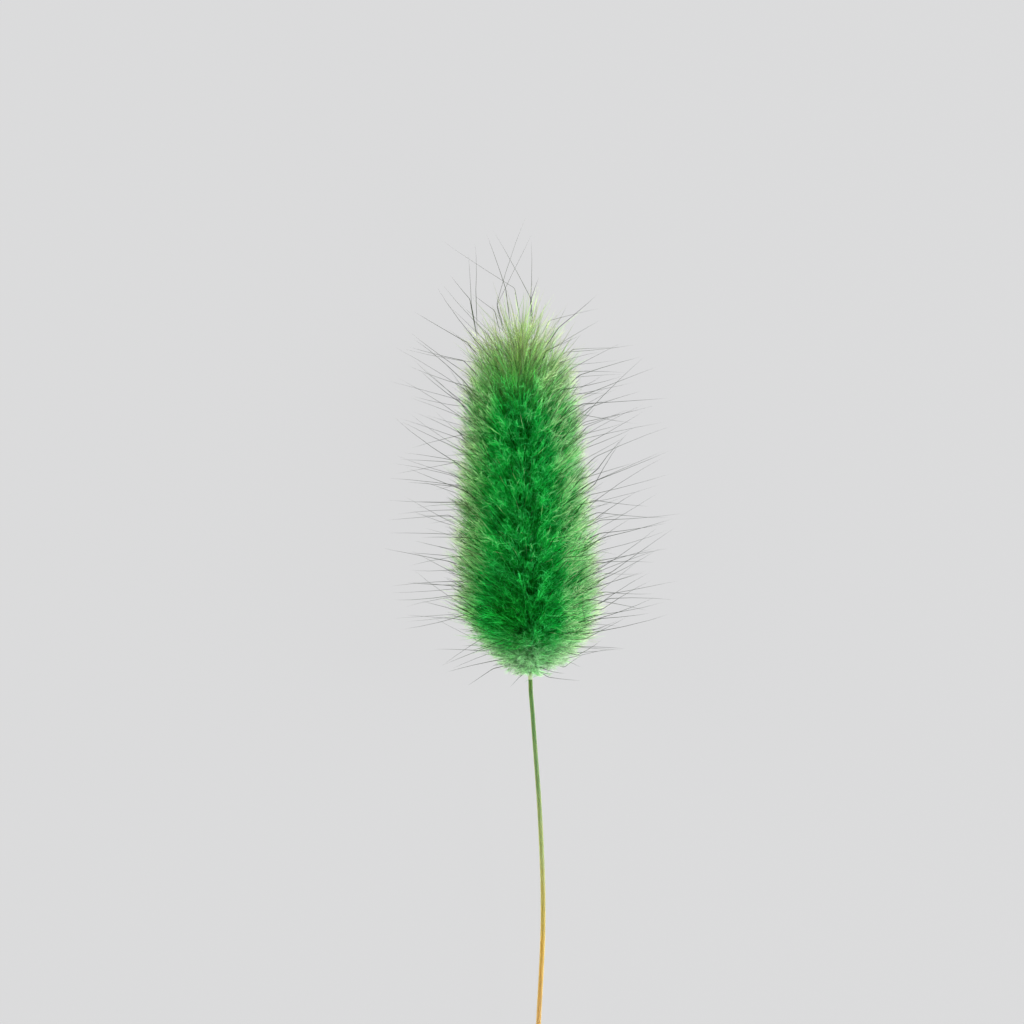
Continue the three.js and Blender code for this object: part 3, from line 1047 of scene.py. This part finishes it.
def awn_lines(head):
    """Lines of the awns: each climbs out of the fur, bends at a knee and points outwards.

    Each has its share along the head.
    """
    rng = np.random.default_rng(RANDOM_SEED + 2)
    y, angle = spiral_places(AWN_SPACING, AWN_FIRST_Y, AWN_LAST_Y, head.fur_radius)
    angle = angle + rng.uniform(-AWN_TURN, AWN_TURN, len(y))
    share = head_share(y)
    climb = leaning(bristle_lean(y) + rng.normal(0, AWN_CLIMB_JITTER, len(y)), angle)
    stand = rng.uniform(*KNEE_STAND, (len(y), 1)) * MM
    knee = outline_points(y, angle, head.fur_radius) + stand * climb
    root = knee - AWN_IN_FUR * growth(share, *AWN_ROOT_GROWTH)[:, None] * climb
    lean = np.radians(np.interp(share, AWN_LEAN_SHARES, AWN_LEAN_DEGREES))
    lean += np.radians(np.interp(share, AWN_LEAN_SHARES, AWN_SIDE_DEGREES)) * np.cos(angle)
    lean += rng.normal(0, AWN_LEAN_JITTER, len(y))
    upward = smoothstep(np.sin(angle), *TOP_EDGES)
    lean += AWN_TOP_UPRIGHT * upward * (math.pi / 2 - lean)
    swerve = rng.normal(0, AWN_SWERVE, len(y)) * (1 - AWN_TOP_STEADY * upward)
    reach = leaning(lean, angle + swerve)
    length = head.awn_length * growth(share, *AWN_GROWTH) * rng.uniform(*AWN_LENGTHS, len(y))
    missing = AWN_TOP_THINNING * upward + AWN_LEFT_THINNING * at_side(-np.cos(angle))
    kept = rng.random(len(y)) >= missing
    return knee_lines(root, knee, reach, length, rng)[kept], share[kept]


def crown_lines():
    """Lines of the long awns that stand up out of the tip of the head and cross each other."""
    rng = np.random.default_rng(RANDOM_SEED + 3)
    places = MM * np.array(CROWN_AWNS).reshape(-1, 3, 2)
    height = middle_at(places[..., 1])[..., 2:]
    height = height + MM * rng.uniform(-CROWN_HEIGHT, CROWN_HEIGHT, (len(places), 3, 1))
    root, knee, tip = np.moveaxis(np.concatenate([places, height], 2), 1, 0)
    length = np.linalg.norm(tip - knee, axis=1)
    return knee_lines(root, knee, (tip - knee) / length[:, None], length, rng), np.ones(len(places))


def knee_lines(root, knee, reach, length, rng):
    """Lines with AWN_RINGS points each: up to the knee, round it, and on along reach with a slight sway."""
    climb = knee - root
    length = length[:, None]
    sway = AWN_SWAY * length * np.cross(reach, unit_noise(rng, len(root)))
    points = [
        root,
        root + CLIMB_RING * climb,
        knee - KNEE_ROUND * unit(climb),
        knee + KNEE_ROUND * reach,
        *(knee + share * length * reach + sway for share in REACH_RINGS),
        knee + length * reach,
    ]
    return pressed(np.stack(points, 1), rng)


def strand_lines(head):
    """Lines of the fine straight strands that comb through the fur, a few beside each feathered bristle.

    Each has its share along the head, and whether it is one of the loose ones.
    """
    rng = np.random.default_rng(RANDOM_SEED + 4)
    root, bend, tip, share = (np.repeat(part, STRANDS_EACH, axis=0) for part in bristle_arches(head))
    count = len(root)
    along = rng.uniform(*STRANDS_ON_BRISTLE, (count, 1))
    direction = arch_direction(root, bend, tip, STRAND_AIM_FROM + STRAND_AIM_RISE * along)
    foot = arched(root, bend, tip, along)
    loose = rng.random(count) < LOOSE_SHARE
    at_tip = smoothstep(share, *STRAND_TIP_SHARES)
    kept = rng.random(count) >= STRANDS_TIP_THINNING * at_tip
    scatter = np.where(loose, LOOSE_SCATTER, STRAND_SCATTER + TIP_SCATTER * at_tip)
    aim = unit(direction + scatter[:, None] * unit_noise(rng, count))
    length = head.bristle_length * (STRAND_END - along) * rng.uniform(*STRAND_LENGTHS, (count, 1))
    length = length * (growth(share, *STRAND_GROWTH) + TIP_LENGTH * at_tip)[:, None]
    side = sideways(tip)
    reach = LEFT_REACH * at_side(-side) + RIGHT_REACH * at_side(side)
    length = length * (1 + reach * smoothstep(share, *REACH_SHARES))[:, None]
    bow = STRAND_BOW * length * np.cross(aim, unit_noise(rng, count))
    lines = pressed(arch_lines(foot, foot + 0.5 * length * aim + bow, foot + length * aim), rng)
    kept &= clear_of_stem(lines)
    return lines[kept], share[kept], loose[kept]


# Shader node groups and materials


def fill_inputs(tree, node, values):
    """Gives a node's inputs plain values, or links them to the outputs that are given instead."""
    for name, value in values.items():
        if isinstance(value, bpy.types.NodeSocket):
            tree.links.new(value, node.inputs[name])
        else:
            node.inputs[name].default_value = value


def add_node(tree, kind, values=None, **settings):
    """A node with its settings, and with the values or links of its inputs."""
    node = tree.nodes.new(kind)
    for name, value in settings.items():
        setattr(node, name, value)
    fill_inputs(tree, node, values or {})
    return node


def calculated(tree, operation, *values):
    """The result of one step of arithmetic."""
    return add_node(tree, "ShaderNodeMath", dict(enumerate(values)), operation=operation).outputs[0]


def mixed(tree, factor, first, second):
    """The colour between two others: the first where the factor is 0, and the second where it is 1."""
    values = {"Factor": factor, "A": first, "B": second}
    return add_node(tree, "ShaderNodeMix", values, data_type="RGBA").outputs["Result"]


def mapped(tree, value, given_range, found_range=(0, 1), interpolation="LINEAR"):
    """The value taken from one range to another, and kept inside it."""
    edges = (*given_range, *found_range)
    values = dict(zip(("From Min", "From Max", "To Min", "To Max"), edges))
    values["Value"] = value
    return add_node(tree, "ShaderNodeMapRange", values, interpolation_type=interpolation).outputs["Result"]


def new_material(name):
    """A new material and its node tree."""
    material = bpy.data.materials.new(name)
    material.use_nodes = True
    return material, material.node_tree


def new_group(name, inputs, outputs):
    """A shader node group with named inputs and outputs, each given as (name, socket type, default)."""
    group = bpy.data.node_groups.new(name, "ShaderNodeTree")
    for label, kind, default in inputs:
        socket = group.interface.new_socket(label, in_out="INPUT", socket_type=kind)
        socket.default_value = default
    for label, kind in outputs:
        group.interface.new_socket(label, in_out="OUTPUT", socket_type=kind)
    return group, group.nodes.new("NodeGroupInput"), group.nodes.new("NodeGroupOutput")


def colour4(colour):
    """A colour with its alpha."""
    return (*colour, 1.0)


def hair_colour_group():
    """Colour along a strand, from its root to its tip: a shade of its own, and tinted at the head's ends."""
    colour = "NodeSocketColor"
    number = "NodeSocketFloat"
    tree, inside, out = new_group(
        "Hair colour",
        [
            ("Root", colour, (0, 0.1, 0, 1)),
            ("Middle", colour, (0, 0.5, 0, 1)),
            ("Tip", colour, (0.5, 0.8, 0.4, 1)),
            ("Head Tip Tint", colour, (0.3, 0.5, 0.1, 1)),
            ("Head Base Tint", colour, (0.3, 0.6, 0.3, 1)),
            ("Tint", number, 0.5),
            ("Fade", number, 1.0),
            ("Shade Spread", number, 0.3),
            ("Dark", colour, (0.02, 0.05, 0.01, 1)),
            ("Dark Share", number, 0.2),
        ],
        [("Color", colour)],
    )
    given = inside.outputs
    place = add_node(tree, "ShaderNodeUVMap", uv_map=HAIR_MAP)
    split = add_node(tree, "ShaderNodeSeparateXYZ", {0: place.outputs["UV"]})
    across, up = split.outputs["X"], split.outputs["Y"]
    shown = mixed(tree, mapped(tree, up, (0, 0.5)), given["Root"], given["Middle"])
    fade = calculated(tree, "POWER", mapped(tree, up, (0.5, 1)), given["Fade"])
    shown = mixed(tree, fade, shown, given["Tip"])
    cell = calculated(tree, "FLOOR", calculated(tree, "MULTIPLY", across, SHADE_CELLS))
    noise = add_node(tree, "ShaderNodeTexWhiteNoise", {"W": cell}, noise_dimensions="1D")
    apart = add_node(tree, "ShaderNodeSeparateColor", {"Color": noise.outputs["Color"]})
    is_dark = calculated(tree, "LESS_THAN", apart.outputs["Green"], given["Dark Share"])
    shown = mixed(tree, is_dark, shown, given["Dark"])
    for label, edges in (("Head Tip Tint", TIP_TINT_SHARES), ("Head Base Tint", BASE_TINT_SHARES)):
        near = mapped(tree, across, edges, interpolation="SMOOTHSTEP")
        amount = calculated(tree, "MULTIPLY", near, given["Tint"])
        shown = mixed(tree, amount, shown, given[label])
    lowest = calculated(tree, "SUBTRACT", 1, given["Shade Spread"])
    highest = calculated(tree, "ADD", 1, given["Shade Spread"])
    shade = mapped(tree, noise.outputs["Value"], (0, 1), (lowest, highest))
    hue = add_node(tree, "ShaderNodeHueSaturation", {"Value": shade, "Color": shown})
    tree.links.new(hue.outputs["Color"], out.inputs["Color"])
    return tree


def shared_group(name, make):
    """The node group of that name, made on first use."""
    return bpy.data.node_groups.get(name) or make()


def hair_material(name, colours, dark, dark_share, tint, fade, spread, translucent, roughness):
    """Dyed plant hair: coloured along its length, soft in gloss, and letting part of the light through.

    colours are those that COLOUR_LABELS names, in the same order.
    """
    material, tree = new_material(name)
    tree.nodes.clear()
    values = {label: colour4(colour) for label, colour in zip(COLOUR_LABELS, colours)}
    values |= {"Dark": colour4(dark), "Dark Share": dark_share}
    values |= {"Tint": tint, "Fade": fade, "Shade Spread": spread}
    group = shared_group("Hair colour", hair_colour_group)
    dyed = add_node(tree, "ShaderNodeGroup", values, node_tree=group).outputs["Color"]
    finish = {"Base Color": dyed, "Roughness": roughness, "Specular IOR Level": HAIR_GLOSS}
    skin = add_node(tree, "ShaderNodeBsdfPrincipled", finish).outputs[0]
    through = add_node(tree, "ShaderNodeBsdfTranslucent", {"Color": dyed}).outputs[0]
    both = add_node(tree, "ShaderNodeMixShader", {"Fac": translucent, 1: skin, 2: through}).outputs[0]
    add_node(tree, "ShaderNodeOutputMaterial", {"Surface": both})
    return material


def stem_material(stem):
    """A dry stem: green under the head, golden further down, with a pale collar and fine streaks along it."""
    material, tree = new_material("Dry stem")
    place = add_node(tree, "ShaderNodeTexCoord").outputs["Object"]
    y = add_node(tree, "ShaderNodeSeparateXYZ", {0: place}).outputs["Y"]
    mottle = add_node(tree, "ShaderNodeTexNoise", {"Vector": place, "Scale": MOTTLE_SCALE, "Detail": 3})
    wander = mapped(tree, mottle.outputs["Fac"], (0, 1), MOTTLE_SHIFT)
    down = calculated(tree, "ADD", mapped(tree, y, STEM_COLOUR_ENDS), wander)
    ramp = add_node(tree, "ShaderNodeValToRGB", {"Fac": down})
    elements = ramp.color_ramp.elements
    elements[0].color = colour4(stem.green)
    elements[1].color = colour4(stem.straw)
    for share, colour in STEM_COLOURS:
        elements.new(share).color = colour4(colour)
    stretched = add_node(tree, "ShaderNodeMapping", {"Vector": place, "Scale": STREAK_SCALE}).outputs[0]
    noise = add_node(tree, "ShaderNodeTexNoise", {"Vector": stretched, "Scale": 1, "Detail": 4})
    streaks = noise.outputs["Fac"]
    shade = mapped(tree, streaks, (0, 1), STREAK_SHADES)
    streaked = add_node(tree, "ShaderNodeHueSaturation", {"Color": ramp.outputs["Color"], "Value": shade})
    on_collar = calculated(tree, "COMPARE", y, COLLAR_Y, COLLAR_LENGTH)
    bump = add_node(tree, "ShaderNodeBump", {"Height": streaks, "Strength": 0.25, "Distance": 0.01 * MM})
    finish = {
        "Base Color": mixed(tree, on_collar, streaked.outputs["Color"], colour4(COLLAR_COLOUR)),
        "Roughness": mapped(tree, streaks, (0, 1), STREAK_ROUGHNESS),
        "Normal": bump.outputs["Normal"],
        "Specular IOR Level": 0.1,
        "Subsurface Weight": 1.0,
        "Subsurface Radius": (1.0, 0.8, 0.5),
        "Subsurface Scale": 2 * MM,
    }
    fill_inputs(tree, tree.nodes["Principled BSDF"], finish)
    return material


def give(piece, material, slot, *nodes):
    """Finishes a piece: its material, the body it rides on and the CAD nodes that it stands for. The slot is
    not used.
    """
    piece.data.materials.clear()
    piece.data.materials.append(material)
    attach(piece, "root")
    if nodes:
        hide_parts(*nodes)


# Operators, one for each piece or group of like pieces


class BUNNYTAIL_OT_stem(bpy.types.Operator):
    """Build the stem, with its ribs and its hollow cut end"""

    bl_idname = "bunny_tail.stem"
    bl_label = "Build Stem"

    def execute(self, context):
        stem = context.scene.bunny_tail_stem
        top_y = HEAD_BASE_Y + STEM_IN_HEAD
        cut_y = PLANT_LINE[0, 1]
        steps = round((top_y - cut_y) / STEM_STEP)
        collar = COLLAR_Y + COLLAR_LENGTH * np.array(COLLAR_RINGS)
        places = np.sort(np.concatenate([np.linspace(top_y, cut_y, steps + 1), collar]))[::-1]
        down = np.clip((HEAD_BASE_Y - places) / (HEAD_BASE_Y - cut_y), 0, 1)
        radii = STEM_TOP_RADIUS + (STEM_CUT_RADIUS - STEM_TOP_RADIUS) * down**STEM_TAPER_POWER
        radii = np.where(np.abs(places - COLLAR_Y) < COLLAR_WIDE_TO * COLLAR_LENGTH, COLLAR_RADIUS, radii)
        rod = add_rod("dry_stem", middle_at(places), stem.thickness * radii, STEM_SIDES, STEM_RIB_DEPTH)
        for face in rod.data.polygons:
            face.select = face.center.y < cut_y + STEM_STEP / 4
        select_only(rod)
        bpy.ops.object.mode_set(mode="EDIT")
        bpy.ops.mesh.inset(thickness=CUT_WALL)
        bpy.ops.mesh.extrude_region_move(TRANSFORM_OT_translate={"value": (0, CUT_DEPTH, 0)})
        bpy.ops.object.mode_set(mode="OBJECT")
        bpy.ops.object.shade_smooth_by_angle(angle=SMOOTH_UP_TO)
        give(rod, stem_material(stem), "straw_stem", "stem")
        return {"FINISHED"}


class BUNNYTAIL_OT_core(bpy.types.Operator):
    """Build the dense middle of the head, where the bristles and hairs have their roots, painted as dark as
    the shade inside the fur
    """

    bl_idname = "bunny_tail.core"
    bl_label = "Build Core"

    def execute(self, context):
        head = context.scene.bunny_tail_head
        places = np.linspace(CORE_FROM_Y, CORE_TO_Y, CORE_RINGS)
        drawn_in = 1 - CORE_DRAWN_IN * head_share(places) ** CORE_POWER
        radii = CORE_SHARE * fur_outline(places, head.fur_radius) * drawn_in
        core = add_rod("head_core", middle_at(places), radii, CORE_SIDES)
        select_only(core)
        bpy.ops.object.shade_smooth()
        # The core's colour is the dye darkened as painted shade
        dark = tuple(CORE_SHADE_BRIGHTNESS * part for part in head.dye)
        material = hair_material("Core in painted shade", [dark] * len(COLOUR_LABELS), dark, **CORE_FINISH)
        give(core, material, "green_fur", "head")
        return {"FINISHED"}


def fur_colours(head, depth, mint):
    """The dye's colours on one kind of hair, in the order of COLOUR_LABELS, with painted shade deep down."""
    dye = np.array(head.dye)
    deep = depth * dye * np.array(DEEP_SHADE_TINT)
    middle = dye + mint * np.array(MINT)
    pale = [dye + np.array(added) for added in (PALE_TIP, PALE_HEAD_TIP, HEAD_BASE_PALE_AND_LIT)]
    return [tuple(np.clip(colour, 0, 1)) for colour in (deep, middle, *pale)]


def strand_places(share, tone):
    """Where each strand lies across its piece's map, by its share along the head and its tone."""
    places = MAP_MARGIN + (1 - 2 * MAP_MARGIN) * share + TONE_SHIFT * tone
    return np.clip(places, MAP_EDGE, 1 - MAP_EDGE)


def add_bands(kind, bands, rings, widths, share, strands, material, rng):
    """Pieces of one kind of hair, a band each, from the base of the head to its tip.

    share is each hair's share along the head. strands holds the lines, radii, places and heights.
    """
    template = add_hair_template(rings, widths)
    order = np.argsort(share, kind="stable")
    for band, chosen in zip(bands, np.array_split(order, len(bands))):
        in_band = [part[chosen] for part in strands]
        piece = copies_along(f"{kind}_{band}", template, rings, *in_band, rng)
        give(piece, material, "green_fur")
    remove(template)


class BUNNYTAIL_OT_bristles(bpy.types.Operator):
    """Build the feathered bristles and the fine straight ones"""

    bl_idname = "bunny_tail.bristles"
    bl_label = "Build Bristles"

    def execute(self, context):
        head = context.scene.bunny_tail_head
        rng = np.random.default_rng(RANDOM_SEED + 5)
        template = add_hair_template(BRISTLE_RINGS, BRISTLE_WIDTHS)
        profile = np.array([BRISTLE_RINGS])
        root, bend, tip, share = bristle_arches(head)
        lines = pressed(arch_lines(root, bend, tip), rng)
        radii = rng.uniform(*BRISTLE_RADII, len(lines)) * MM
        places = strand_places(share, rng.uniform(-1, 1, len(share)))
        heights = colour_heights(profile, lines, SHADED_TOP_HEIGHT)
        bristles = copies_along("bristles", template, BRISTLE_RINGS, lines, radii, places, heights, rng)
        give(bristles, hair_material("Bristle", BRISTLE_COLOURS, **BRISTLE_FINISH), "green_fur")
        lines, share, loose = strand_lines(head)
        radii = np.where(loose, LOOSE_RADIUS, rng.uniform(*STRAND_RADII, len(lines))) * MM
        places = strand_places(share, rng.uniform(-1, 1, len(share)))
        heights = colour_heights(profile, lines, np.where(loose, LOOSE_HEIGHT, SHADED_TOP_HEIGHT)[:, None])
        strands = copies_along("fine_bristles", template, BRISTLE_RINGS, lines, radii, places, heights, rng)
        give(strands, hair_material("Fine bristle", STRAND_COLOURS, **STRAND_FINISH), "green_fur")
        remove(template)
        return {"FINISHED"}


class BUNNYTAIL_OT_fur(bpy.types.Operator):
    """Build the soft hairs and the short curls, in bands from the base of the head to its tip"""

    bl_idname = "bunny_tail.fur"
    bl_label = "Build Fur"

    def execute(self, context):
        head = context.scene.bunny_tail_head
        rng = np.random.default_rng(RANDOM_SEED + 6)
        lines, share, along, tone = hair_lines(head)
        radii = head.hair_radius * (1 + ROOT_THICKENING * smoothstep(along, *ROOT_SHARES))
        radii = radii * rng.uniform(*HAIR_RADII, len(lines))
        places = strand_places(share, OWN_TONE * rng.uniform(-1, 1, len(share)) + (1 - OWN_TONE) * tone)
        # Hairs deep in the fur stay low on the map and take the dark root colour, a painted shade
        heights = colour_heights(nearness(lines, head.fur_radius), lines, SHADED_TOP_HEIGHT)
        strands = lines, radii, places, heights
        material = hair_material("Dyed hair", fur_colours(head, *HAIR_DEEP_SHADE_AND_MINT), **HAIR_FINISH)
        add_bands("fur", FUR_BANDS, HAIR_RINGS, HAIR_WIDTHS, share, strands, material, rng)
        lines, share = curl_lines(head)
        radii = rng.uniform(*CURL_RADII, len(lines)) * MM
        places = strand_places(share, rng.uniform(-1, 1, len(share)))
        # Curls too take painted shade deep down and on top, and painted light on the sides
        heights = colour_heights(nearness(lines, head.fur_radius), lines, CURL_SHADED_TOP_HEIGHT)
        strands = lines, radii, places, heights
        material = hair_material("Curly hair", fur_colours(head, *CURL_DEEP_SHADE_AND_MINT), **CURL_FINISH)
        add_bands("curls", CURL_BANDS, CURL_RINGS, CURL_WIDTHS, share, strands, material, rng)
        return {"FINISHED"}


class BUNNYTAIL_OT_awns(bpy.types.Operator):
    """Build the long bent awns round the head and the crown of awns at its tip"""

    bl_idname = "bunny_tail.awns"
    bl_label = "Build Awns"

    def execute(self, context):
        head = context.scene.bunny_tail_head
        rng = np.random.default_rng(RANDOM_SEED + 7)
        template = add_hair_template(AWN_RINGS, AWN_WIDTHS)
        sides, share = awn_lines(head)
        crown, crown_share = crown_lines()
        lines = np.concatenate([sides, crown])
        radii = rng.uniform(*AWN_RADII, len(lines)) * MM
        radii[len(sides) :] *= CROWN_FINENESS
        places = strand_places(np.concatenate([share, crown_share]), rng.uniform(-1, 1, len(lines)))
        heights = colour_heights(np.array([AWN_RINGS]) ** AWN_FADE, lines, SHADED_TOP_HEIGHT)
        awns = copies_along("awns", template, AWN_RINGS, lines, radii, places, heights, rng)
        give(awns, hair_material("Awn", AWN_COLOURS, **AWN_FINISH), "green_fur")
        remove(template)
        return {"FINISHED"}


class BUNNYTAIL_OT_stage(bpy.types.Operator):
    """Build the pale floor, the soft light and the camera"""

    bl_idname = "bunny_tail.stage"
    bl_label = "Build Stage"

    def execute(self, context):
        stage = context.scene.bunny_tail_stage
        scene = context.scene
        bpy.ops.object.select_all(action="DESELECT")
        bpy.ops.mesh.primitive_plane_add(size=stage.floor_size)
        floor = context.active_object
        floor.name = "floor"
        floor.data.materials.append(floor_material())
        world = bpy.data.worlds.new("Sky")
        scene.world = world
        world.use_nodes = True
        light_sky(world.node_tree, stage)
        add_light("key_light", KEY_PLACE, stage.key_power, KEY_COLOUR)
        add_light("fill_light", FILL_PLACE, stage.fill_power, FILL_COLOUR)
        add_light("low_light", LOW_PLACE, stage.low_power, LOW_COLOUR)
        bpy.ops.object.camera_add(location=(CAMERA_X, CAMERA_Y, CAMERA_Z), rotation=(0, 0, 0))
        camera = context.active_object
        camera.name = "camera"
        camera.data.lens = CAMERA_LENS
        camera.data.clip_start = 0.01
        scene.camera = camera
        scene.view_settings.view_transform = "Standard"
        return {"FINISHED"}


def add_light(name, place, power, colour):
    """A soft square light that points at the plant, and that no camera sees."""
    place = Vector(place)
    bpy.ops.object.light_add(type="AREA", location=place)
    light = bpy.context.active_object
    light.name = name
    light.rotation_euler = (-place).to_track_quat("-Z", "Y").to_euler()
    light.data.energy = power
    light.data.color = colour
    light.data.size = LIGHT_SIZE
    light.visible_camera = False


def light_sky(tree, stage):
    """Soft light all round, bright near the horizon and dimmer overhead, as in an open-topped light tent."""
    direction = add_node(tree, "ShaderNodeTexCoord").outputs["Generated"]
    height = add_node(tree, "ShaderNodeSeparateXYZ", {0: direction}).outputs["Z"]
    strength = mapped(tree, height, SKY_EDGES, (stage.side_light, stage.top_light), "SMOOTHSTEP")
    fill_inputs(tree, tree.nodes["Background"], {"Color": colour4(STUDIO_WHITE), "Strength": strength})


def floor_material():
    """A pale matt floor that glows a little, as a light table does, so that shadows on it stay faint."""
    material, tree = new_material("Pale floor")
    place = add_node(tree, "ShaderNodeTexCoord").outputs["Object"]
    cloud = add_node(tree, "ShaderNodeTexNoise", {"Vector": place, "Scale": 3, "Detail": 2})
    finish = {
        "Base Color": mapped(tree, cloud.outputs["Fac"], (0, 1), FLOOR_TONES),
        "Roughness": 1.0,
        "Specular IOR Level": 0.0,
        "Emission Color": colour4(STUDIO_WHITE),
        "Emission Strength": FLOOR_GLOW,
    }
    fill_inputs(tree, tree.nodes["Principled BSDF"], finish)
    return material


class BUNNYTAIL_PT_panel(bpy.types.Panel):
    """Lists the operators and their settings"""

    bl_idname = "BUNNYTAIL_PT_panel"
    bl_label = "Bunny Tail Grass"
    bl_space_type = "VIEW_3D"
    bl_region_type = "UI"
    bl_category = "Bunny Tail"

    def draw(self, context):
        layout = self.layout
        for settings in ("bunny_tail_stem", "bunny_tail_head", "bunny_tail_stage"):
            group = getattr(context.scene, settings)
            box = layout.box()
            for name in group.__annotations__:
                box.prop(group, name)
        for operator in OPERATORS:
            layout.operator(operator.bl_idname)


SETTINGS = {
    "bunny_tail_stem": StemSettings,
    "bunny_tail_head": HeadSettings,
    "bunny_tail_stage": StageSettings,
}
OPERATORS = (
    BUNNYTAIL_OT_stem,
    BUNNYTAIL_OT_core,
    BUNNYTAIL_OT_bristles,
    BUNNYTAIL_OT_fur,
    BUNNYTAIL_OT_awns,
    BUNNYTAIL_OT_stage,
)
CLASSES = (*SETTINGS.values(), *OPERATORS, BUNNYTAIL_PT_panel)


def register():
    """Registers the classes and hangs the settings on the scene."""
    for shown in CLASSES:
        bpy.utils.register_class(shown)
    for name, group in SETTINGS.items():
        setattr(bpy.types.Scene, name, bpy.props.PointerProperty(type=group))


def unregister():
    """Takes the settings and the classes away again."""
    for name in SETTINGS:
        delattr(bpy.types.Scene, name)
    for shown in reversed(CLASSES):
        bpy.utils.unregister_class(shown)


def main():
    """Builds the plant and its stage."""
    register()
    bpy.ops.bunny_tail.stem()
    bpy.ops.bunny_tail.core()
    bpy.ops.bunny_tail.bristles()
    bpy.ops.bunny_tail.fur()
    bpy.ops.bunny_tail.awns()
    bpy.ops.bunny_tail.stage()


if __name__ == "__main__":
    main()
